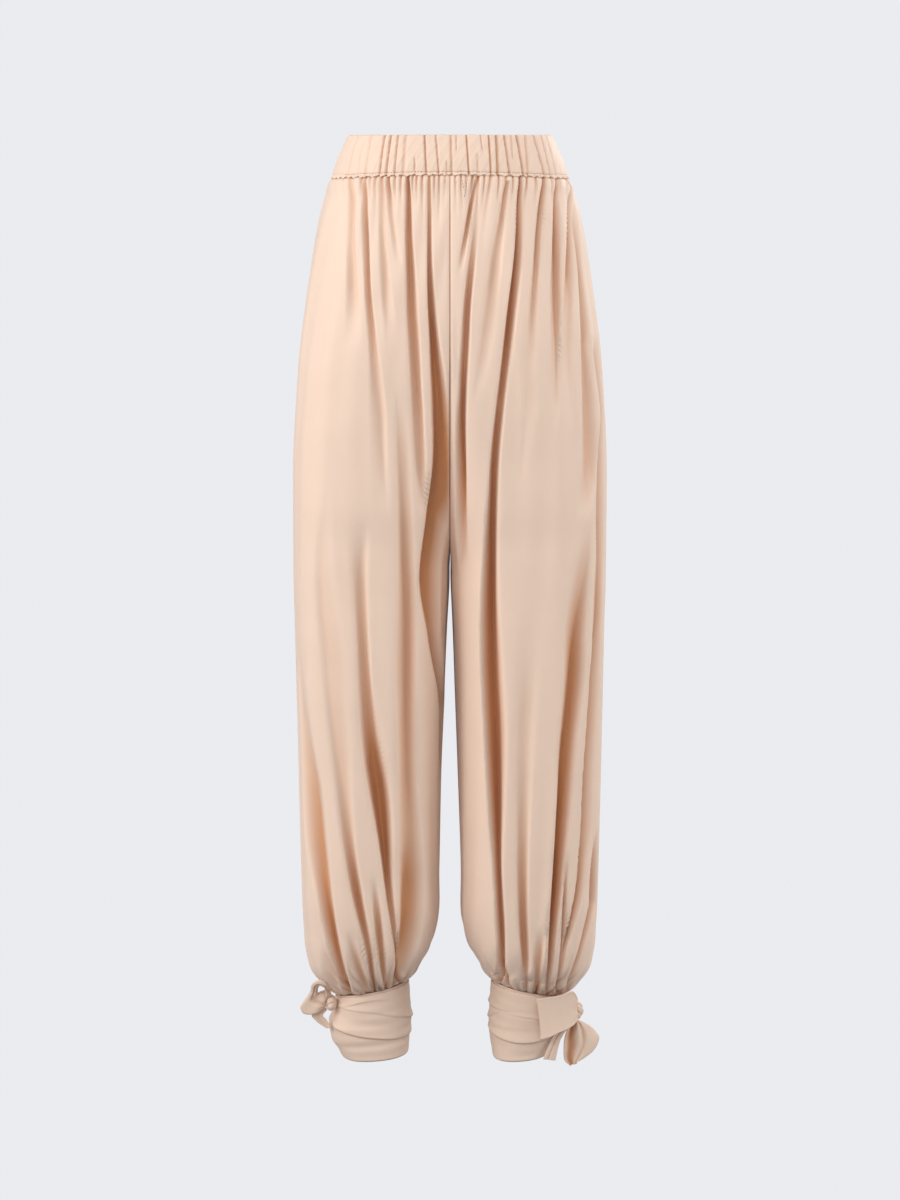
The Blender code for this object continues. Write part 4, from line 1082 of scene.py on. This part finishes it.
def add_waistband(face, material):
    """Half of the waistband: a ruched casing with a soft lip along its seam."""
    pleats = band_pleats(face)
    rows, columns = BAND_GRID
    turned = 1 if face == "front" else -1
    phases = np.random.default_rng(BAND_SEED).uniform(0, 2 * np.pi, 4)
    turn = np.linspace(0, math.pi, OUTLINE_SAMPLES)
    points = []
    shade = []
    for level in 1 - np.linspace(1, 0, rows) ** BAND_ROW_CROWDING:
        drop = BAND_TOP + (BAND_SEAM - BAND_TOP) * level
        above = BAND_SEAM - drop
        size = read(BAND_SECTIONS, BAND_COLUMNS, drop)
        depth = -size["front"] if face == "front" else size["back"]
        x = -size["width"] * bulge(np.cos(turn))
        y = depth * bulge(np.sin(turn))
        run = lengths_along(x, y)
        at = np.linspace(BAND_EDGE_GAP, run[-1] - BAND_EDGE_GAP, columns + 1)
        valley = band_valley(pleats, level, at, run, x)
        push = band_push(level, above, at, run[-1], valley, phases)
        out_x, out_y = way_out(at, run, x, y, turned)
        px = np.interp(at, run, x) + out_x * push
        py = np.interp(at, run, y) + out_y * push
        height = band_wave(level, above, at, valley, phases) - drop
        if face == "front":
            height = height + seam_arch(px) * ease(BAND_ARCH_START - above / BAND_HEIGHT)
        points.append(np.stack((px, py, height), 1))
        # Painted shade in the pleats
        shade.append(np.clip(valley / FULL_PLEAT_SHADE, 0, 1))
    out = np.array((0, -turned, 0))
    piece = add_grid(
        f"ruched_waistband_{face}", np.array(points), False, BAND_WALL, lambda point: out,
        np.array(shade))
    finish_piece(piece, f"waistband_{face}", material)
    return piece


def cuff_size(side, drop):
    """A cuff's sizes at one drop, straight between its sections."""
    rows = np.array(CUFF_SECTIONS[side], float)
    return {
        name: float(np.interp(drop, rows[:, 0], rows[:, number]))
        for number, name in enumerate(CUFF_COLUMNS)
    }


def cuff_ring(side, drop, outwards, turn):
    """A ring round an ankle, as on the left leg, moved outwards by a distance."""
    size = cuff_size(side, drop)
    across = bulge(np.cos(turn))
    along = bulge(np.sin(turn))
    width = (size["outer"] - size["inner"]) / 2
    depth = np.where(along < 0, size["front"], size["back"])
    out = unit(np.stack((across * depth, along * width), 1))
    x = (size["outer"] + size["inner"]) / 2 + width * across + outwards * out[:, 0]
    y = CUFF_MIDDLE + depth * along + outwards * out[:, 1]
    return np.stack((x, y, seam_height(drop, size["slant"], x)), 1)


def add_tube(name, side, rings, wall, shade=None):
    """A closed tube of cloth through some rings round an ankle."""
    middle = np.array((SIDE_SIGN[side] * SLANT_AXIS, CUFF_MIDDLE, 0))
    return add_grid(
        name, np.array(rings) * mirror(side), True, wall,
        lambda point: (point - middle) * np.array((1, 1, 0)), shade)


def add_cuff(side, material):
    """The plain tube of cloth that the leg is gathered into."""
    rows, columns = CUFF_GRID
    turn = np.linspace(0, 2 * np.pi, columns, endpoint=False)
    top = CUFF_SECTIONS[side][0][0]
    hem = CUFF_SECTIONS[side][-1][0]
    rings = [
        cuff_ring(side, drop, 0 if drop < hem - HEM_TUCK_REACH else -HEM_TUCK, turn)
        for drop in np.linspace(top, hem, rows)
    ]
    piece = add_tube(f"ankle_cuff_{side}", side, rings, CLOTH_WALL)
    finish_piece(piece, f"cuff_{side}", material)


def round_ankle(values, turn):
    """A value given at eight steps round the ankle, read smoothly at every turn."""
    count = len(values)
    steps = np.concatenate((values[-2:], values, values[:3]))
    place = (-turn / (2 * np.pi)) % 1 * count
    return smooth(np.arange(-2, count + 3), steps, place)


def add_wound_tie(side, material):
    """The tie wound round the cuff: turns that lap over each other towards the knot."""
    rows, columns = TIE_GRID
    turn = np.linspace(0, 2 * np.pi, columns, endpoint=False)
    bottom = CUFF_SECTIONS[side][-1][0] - TIE_BOTTOM_SHORT
    wander = sum(high * np.sin(times * turn + start) for high, times, start in TIE_WANDER)
    lines = [
        (round_ankle(drops, turn) + wander, round_ankle(proud, turn), tall)
        for drops, proud, tall in TIE_EDGES[side]
    ]
    hollows = [(round_ankle(drops, turn), deep, tall) for drops, deep, tall in TIE_HOLLOWS[side]]
    (strong, rate, bend), (weak, slower, times) = TIE_RIPPLES
    rings = []
    shade = []
    for level in np.linspace(0, 1, rows):
        drop = TIE_TOP + (bottom - TIE_TOP) * level
        stands = np.full(columns, TIE_REST)
        valley = np.zeros(columns)
        for line, proud, tall in lines:
            over = proud * (1 - np.clip((line - drop) / tall, 0, 1)) ** TIE_SWELL_CURVE
            under = proud * (1 - ease((drop - line) / TIE_EDGE_WIDTH))
            stands = np.maximum(stands, np.where(drop <= line, over, under))
            # Painted shade just below each lapping edge
            valley += swell(drop - line, proud / TIE_FULL_SHADE, TIE_SHADE_BELOW, TIE_EDGE_WIDTH)
        for line, deep, tall in hollows:
            stands = stands - swell(drop, deep, line, tall)
        stands += strong * np.sin(drop * rate + bend * np.sin(turn))
        stands += weak * np.sin(drop * slower + times * turn)
        ends = np.clip(1 - min(level, 1 - level) / TIE_END_SHARE, 0, 1) ** 2
        outwards = SEAM_GAP + TIE_WALL + stands - TIE_END_TUCK * ends
        rings.append(cuff_ring(side, drop, outwards, turn))
        shade.append(np.clip(valley, 0, 1))
    piece = add_tube(f"wound_tie_{side}", side, rings, TIE_WALL, np.array(shade))
    finish_piece(piece, f"tie_wound_{side}", material)


def knot_middle(side):
    """Where a knot's middle lies, so that it rests on the wound tie, and the way out."""
    size = dict(zip(KNOT_COLUMNS, KNOTS[side]))
    cuff = cuff_size(side, size["drop"])
    width = (cuff["outer"] - cuff["inner"]) / 2
    turn = math.radians(-size["turn"])
    across = float(bulge(math.cos(turn)))
    along = float(bulge(math.sin(turn)))
    out = Vector((across * cuff["front"], along * width, 0)).normalized()
    middle = Vector((cuff["inner"] + width + width * across, CUFF_MIDDLE + cuff["front"] * along, 0))
    middle += out * (size["stand"] + size["outwards"])
    middle.z = -size["drop"]
    return middle, out


def add_knot(side, material):
    """A pulled-tight knot: a rounded lump with creases running into its waist."""
    size = dict(zip(KNOT_COLUMNS, KNOTS[side]))
    middle, out = knot_middle(side)
    along = Vector((0, 0, 1)).cross(out)
    axes = Matrix((out, along, Vector((0, 0, 1)))).transposed()
    shape = bmesh.new()
    bmesh.ops.create_uvsphere(shape, u_segments=KNOT_SEGMENTS, v_segments=KNOT_RINGS, radius=1)
    for vert in shape.verts:
        x, y, z = vert.co
        slope = z * KNOT_SLOPE[0] + y * KNOT_SLOPE[1]
        groove = float(sum(swell(slope, *crossing) for crossing in KNOT_GROOVES))
        pleat = KNOT_PLEAT * math.sin(KNOT_PLEAT_RATE * slope + 2 * y) * max(x, 0)
        fullness = 1 - KNOT_GROOVE_DEPTH * groove * max(x + KNOT_GROOVE_START, 0) + pleat
        waist = 1 - KNOT_WAIST * math.cos(math.pi * min(abs(z), 1)) ** 2
        local = Vector((
            x * size["outwards"] * fullness,
            y * size["along"] * waist * fullness,
            z * size["upwards"] * fullness,
        ))
        vert.co = (axes @ local + middle) * MM
        vert.co.x *= SIDE_SIGN[side]
    shape.normal_update()
    bmesh.ops.recalc_face_normals(shape, faces=shape.faces)
    mesh = bpy.data.meshes.new(f"knot_{side}")
    shape.to_mesh(mesh)
    shape.free()
    mesh.shade_smooth()
    finish_piece(add_piece(f"knot_{side}", mesh), f"tie_knot_{side}", material)


def add_strip(name, node, side, table, ends, shape, flat, material):
    """A loop or tail of the tie: a rounded middle, lengthwise folds, a pinch at the knot."""
    rows, columns = STRIP_GRID
    middle, _ = knot_middle(side)
    stations = np.linspace(0, 1, len(table))
    along = np.linspace(0, 1, rows)
    sides = np.array([smooth(stations, np.array(table, float)[:, n], along) for n in range(6)])
    near = sides[:3].T + np.array(middle)
    far = sides[3:].T + np.array(middle)
    share = np.linspace(0, 1, columns)
    grid = near[:, None, :] * (1 - share[None, :, None]) + far[:, None, :] * share[None, :, None]
    normals = unit(np.cross(np.gradient(grid, axis=0), np.gradient(grid, axis=1)))
    crown, folds = shape
    from_knot = np.minimum(along, 1 - along) if ends == 2 else along
    pinch = np.exp(-from_knot / STRIP_PINCH)[:, None]
    open_end = ease(from_knot / STRIP_OPENS)[:, None]
    height = crown * np.sqrt(np.sin(math.pi * share))[None, :] * open_end
    valley = np.zeros((rows, columns))
    for place, end_place, deep, wide in folds:
        line = (place + (end_place - place) * along)[:, None]
        hollow = swell(share[None, :], 1, line, wide) * open_end
        height = height - deep * hollow
        # Painted shade in the lengthwise folds
        valley += hollow * abs(deep) / STRIP_FULL_SHADE
    ridges = STRIP_RIDGE * np.sin(share * STRIP_RIDGES * math.pi)[None, :]
    height = height + ridges * pinch * open_end
    sways = [np.sin(at * rate + start) for at, (rate, start) in zip((along, share), STRIP_SWAYS)]
    height = height + STRIP_SWAY * np.outer(*sways)
    grid = grid + normals * height[:, :, None]
    # Painted shade in the folds and at the pinch by the knot
    shade = np.clip(valley + pinch * STRIP_PINCH_SHADE, 0, 1)
    outward = normals[rows // 2, columns // 3] * mirror(side)
    grid = (grid + normals * TIE_WALL / 2) * mirror(side)
    piece = add_grid(name, grid, False, TIE_WALL, lambda point: outward, shade)
    finish_piece(piece, node, material)


def on_cloth(x, z, facing, pieces):
    """The outermost point of some cloth at a place seen from the front or the back."""
    start = Vector((x, -facing * STITCH_CAST, z)) * MM
    best = None
    for piece in pieces:
        hit, point, _, _ = piece.ray_cast(start, Vector((0, facing, 0)))
        if hit and (best is None or facing * (point.y - best.y) < 0):
            best = point
    return best


def add_thread(verts, faces, path, facing):
    """One short thread along some points: rings of corners, closed at both tips."""
    share = np.linspace(0, 1, STITCH_STEPS)
    along = unit(np.gradient(path, axis=0))
    across = unit(np.cross(along, np.array((0.0, facing, 0.0))))
    up = unit(np.cross(across, along))
    thick = STITCH_RADIUS * np.sqrt(np.clip(1 - (2 * share - 1) ** 4, STITCH_TIP, 1))
    first = len(verts)
    for n in range(STITCH_STEPS):
        for angle in np.linspace(0, 2 * math.pi, STITCH_SIDES, endpoint=False):
            offset = across[n] * math.cos(angle) + up[n] * math.sin(angle)
            verts.append(tuple((path[n] + offset * thick[n]) * MM))
    for n in range(STITCH_STEPS - 1):
        low = first + n * STITCH_SIDES
        high = low + STITCH_SIDES
        for c in range(STITCH_SIDES):
            after = (c + 1) % STITCH_SIDES
            faces.append((low + c, low + after, high + after, high + c))
    faces.append(tuple(first + c for c in reversed(range(STITCH_SIDES))))
    last = first + (STITCH_STEPS - 1) * STITCH_SIDES
    faces.append(tuple(last + c for c in range(STITCH_SIDES)))


def add_stitches(name, lines, facing, pieces, material):
    """Short threads lying on the cloth along some lines of (x, z) points."""
    verts = []
    faces = []
    for line, length, gap in lines:
        x, z = np.array(line, float).T
        run = lengths_along(x, z)
        for begin in np.arange(0, run[-1] - length, length + gap):
            at = begin + length * np.linspace(0, 1, STITCH_STEPS)
            places = [
                on_cloth(float(px), float(pz), facing, pieces)
                for px, pz in zip(np.interp(at, run, x), np.interp(at, run, z))
            ]
            if None not in places:
                add_thread(verts, faces, np.array(places) / MM, facing)
    mesh = bpy.data.meshes.new(name)
    mesh.from_pydata(verts, [], faces)
    mesh.shade_smooth()
    finish_piece(add_piece(name, mesh), None, material)


def seam_line(face, above):
    """The line of points a distance above the waist seam."""
    x = np.linspace(-STITCH_SPAN, STITCH_SPAN, STITCH_LINE_POINTS)
    height = -BAND_SEAM + above + (seam_arch(x) if face == "front" else 0)
    return np.stack((x, height + 0 * x), 1)


def add_camera():
    """The photograph's view: level with the waist, looking slightly down."""
    data = bpy.data.cameras.new("studio_camera")
    data.lens = CAMERA_LENS
    data.sensor_width = CAMERA_SENSOR
    data.sensor_fit = "AUTO"
    data.clip_end = CAMERA_FAR
    camera = add_piece("studio_camera", data)
    camera.location = CAMERA_PLACE
    camera.rotation_euler = (math.radians(90) - CAMERA_TILT, 0, 0)
    bpy.context.scene.camera = camera


def add_light(name, place, size, power):
    """A soft square light aimed at the trousers' middle."""
    data = bpy.data.lights.new(name, "AREA")
    data.shape = "RECTANGLE"
    data.size, data.size_y = size
    data.energy = power
    light = add_piece(name, data)
    light.location = place
    aim = Vector(LIGHT_TARGET) - Vector(place)
    light.rotation_euler = aim.to_track_quat("-Z", "Y").to_euler()


def show_backdrop(tree, lit, shown, end):
    """Light the scene with one shader, and show the backdrop's colour with another."""
    seen = add_node(tree, "ShaderNodeLightPath")
    choose = add_node(tree, "ShaderNodeMixShader")
    tree.links.new(seen.outputs["Is Camera Ray"], choose.inputs["Fac"])
    tree.links.new(lit, choose.inputs[1])
    tree.links.new(shown, choose.inputs[2])
    tree.links.new(choose.outputs["Shader"], tree.nodes[end].inputs["Surface"])


def add_studio():
    """Pale even surroundings, a plain pale floor and five soft lights."""
    world = bpy.data.worlds.new("studio")
    world.use_nodes = True
    tree = world.node_tree
    background = tree.nodes["Background"]
    background.inputs["Color"].default_value = (*BACKDROP_COLOUR, 1)
    background.inputs["Strength"].default_value = 1.0
    ambient = add_node(tree, "ShaderNodeBackground", AMBIENT)
    show_backdrop(
        tree, ambient.outputs["Background"], background.outputs["Background"], "World Output")
    bpy.context.scene.world = world

    bpy.ops.mesh.primitive_plane_add(size=FLOOR_SIZE, location=(0, 0, FLOOR_HEIGHT))
    floor = bpy.context.object
    floor.name = "studio_floor"
    material = bpy.data.materials.new("pale_floor")
    material.use_nodes = True
    tree = material.node_tree
    glow = add_node(tree, "ShaderNodeEmission", {"Color": (*BACKDROP_COLOUR, 1)})
    matt = tree.nodes["Principled BSDF"]
    matt.inputs["Base Color"].default_value = FLOOR_COLOUR
    matt.inputs["Roughness"].default_value = FLOOR_ROUGHNESS
    show_backdrop(tree, matt.outputs["BSDF"], glow.outputs["Emission"], "Material Output")
    floor.data.materials.append(material)

    for light in LIGHTS:
        add_light(*light)
    bpy.context.scene.view_settings.view_transform = "Standard"


def add_legs(material):
    """The four leg panels. The left front one is returned, for the mark sewn on it."""
    add_panel(
        "right", "front", FRONT_RIGHT_FOLDS, (FRONT_RIGHT_WAIST, FRONT_RIGHT_ANKLE),
        FRONT_COLUMNS, FRONT_SEEDS["right"], material)
    left = add_panel(
        "left", "front", FRONT_LEFT_FOLDS, (FRONT_LEFT_WAIST, FRONT_LEFT_ANKLE),
        FRONT_COLUMNS, FRONT_SEEDS["left"], material, FRONT_LEFT_SHADOW)
    for side, folds in (("right", BACK_RIGHT_FOLDS), ("left", BACK_LEFT_FOLDS)):
        seed = BACK_SEEDS[side]
        waist = gathers_by_rule(WAIST_RULE, -WAIST_REACH, WAIST_REACH, math.pi / 2, seed)
        ankle = gathers_by_rule(ANKLE_RULE, *ANKLE_REACH, 0, seed + 1)
        add_panel(side, "back", folds, (waist, ankle), BACK_COLUMNS, seed, material)
    return left


def build():
    """The dressed trousers in their studio."""
    add_camera()
    add_studio()
    leg = make_cloth("leg_crepe", 1.0, 0.25)
    band = make_cloth("waistband_crepe", 1.0, 0.2)
    cuff = make_cloth("cuff_crepe", CUFF_TONE, 0.15)
    thread = make_cloth("seam_thread", THREAD_TONE, 0.1)

    front_band = add_waistband("front", band)
    back_band = add_waistband("back", band)
    left_panel = add_legs(leg)
    for side in SIDE_SIGN:
        add_cuff(side, cuff)
        add_wound_tie(side, cuff)
    marks = [(arm, *MARK_STITCH) for arm in MARK_ARMS]
    add_stitches(
        "front_mark_stitches", marks, 1, (front_band, left_panel), thread)
    for face, piece, facing in (("front", front_band, 1), ("back", back_band, -1)):
        run = [(seam_line(face, STITCH_ABOVE), *SEAM_STITCH)]
        add_stitches(
            f"seam_stitches_{face}", run, facing, (piece,), thread)
    for side in KNOTS:
        add_knot(side, cuff)
    for strip in STRIPS:
        add_strip(*strip, cuff)


build()
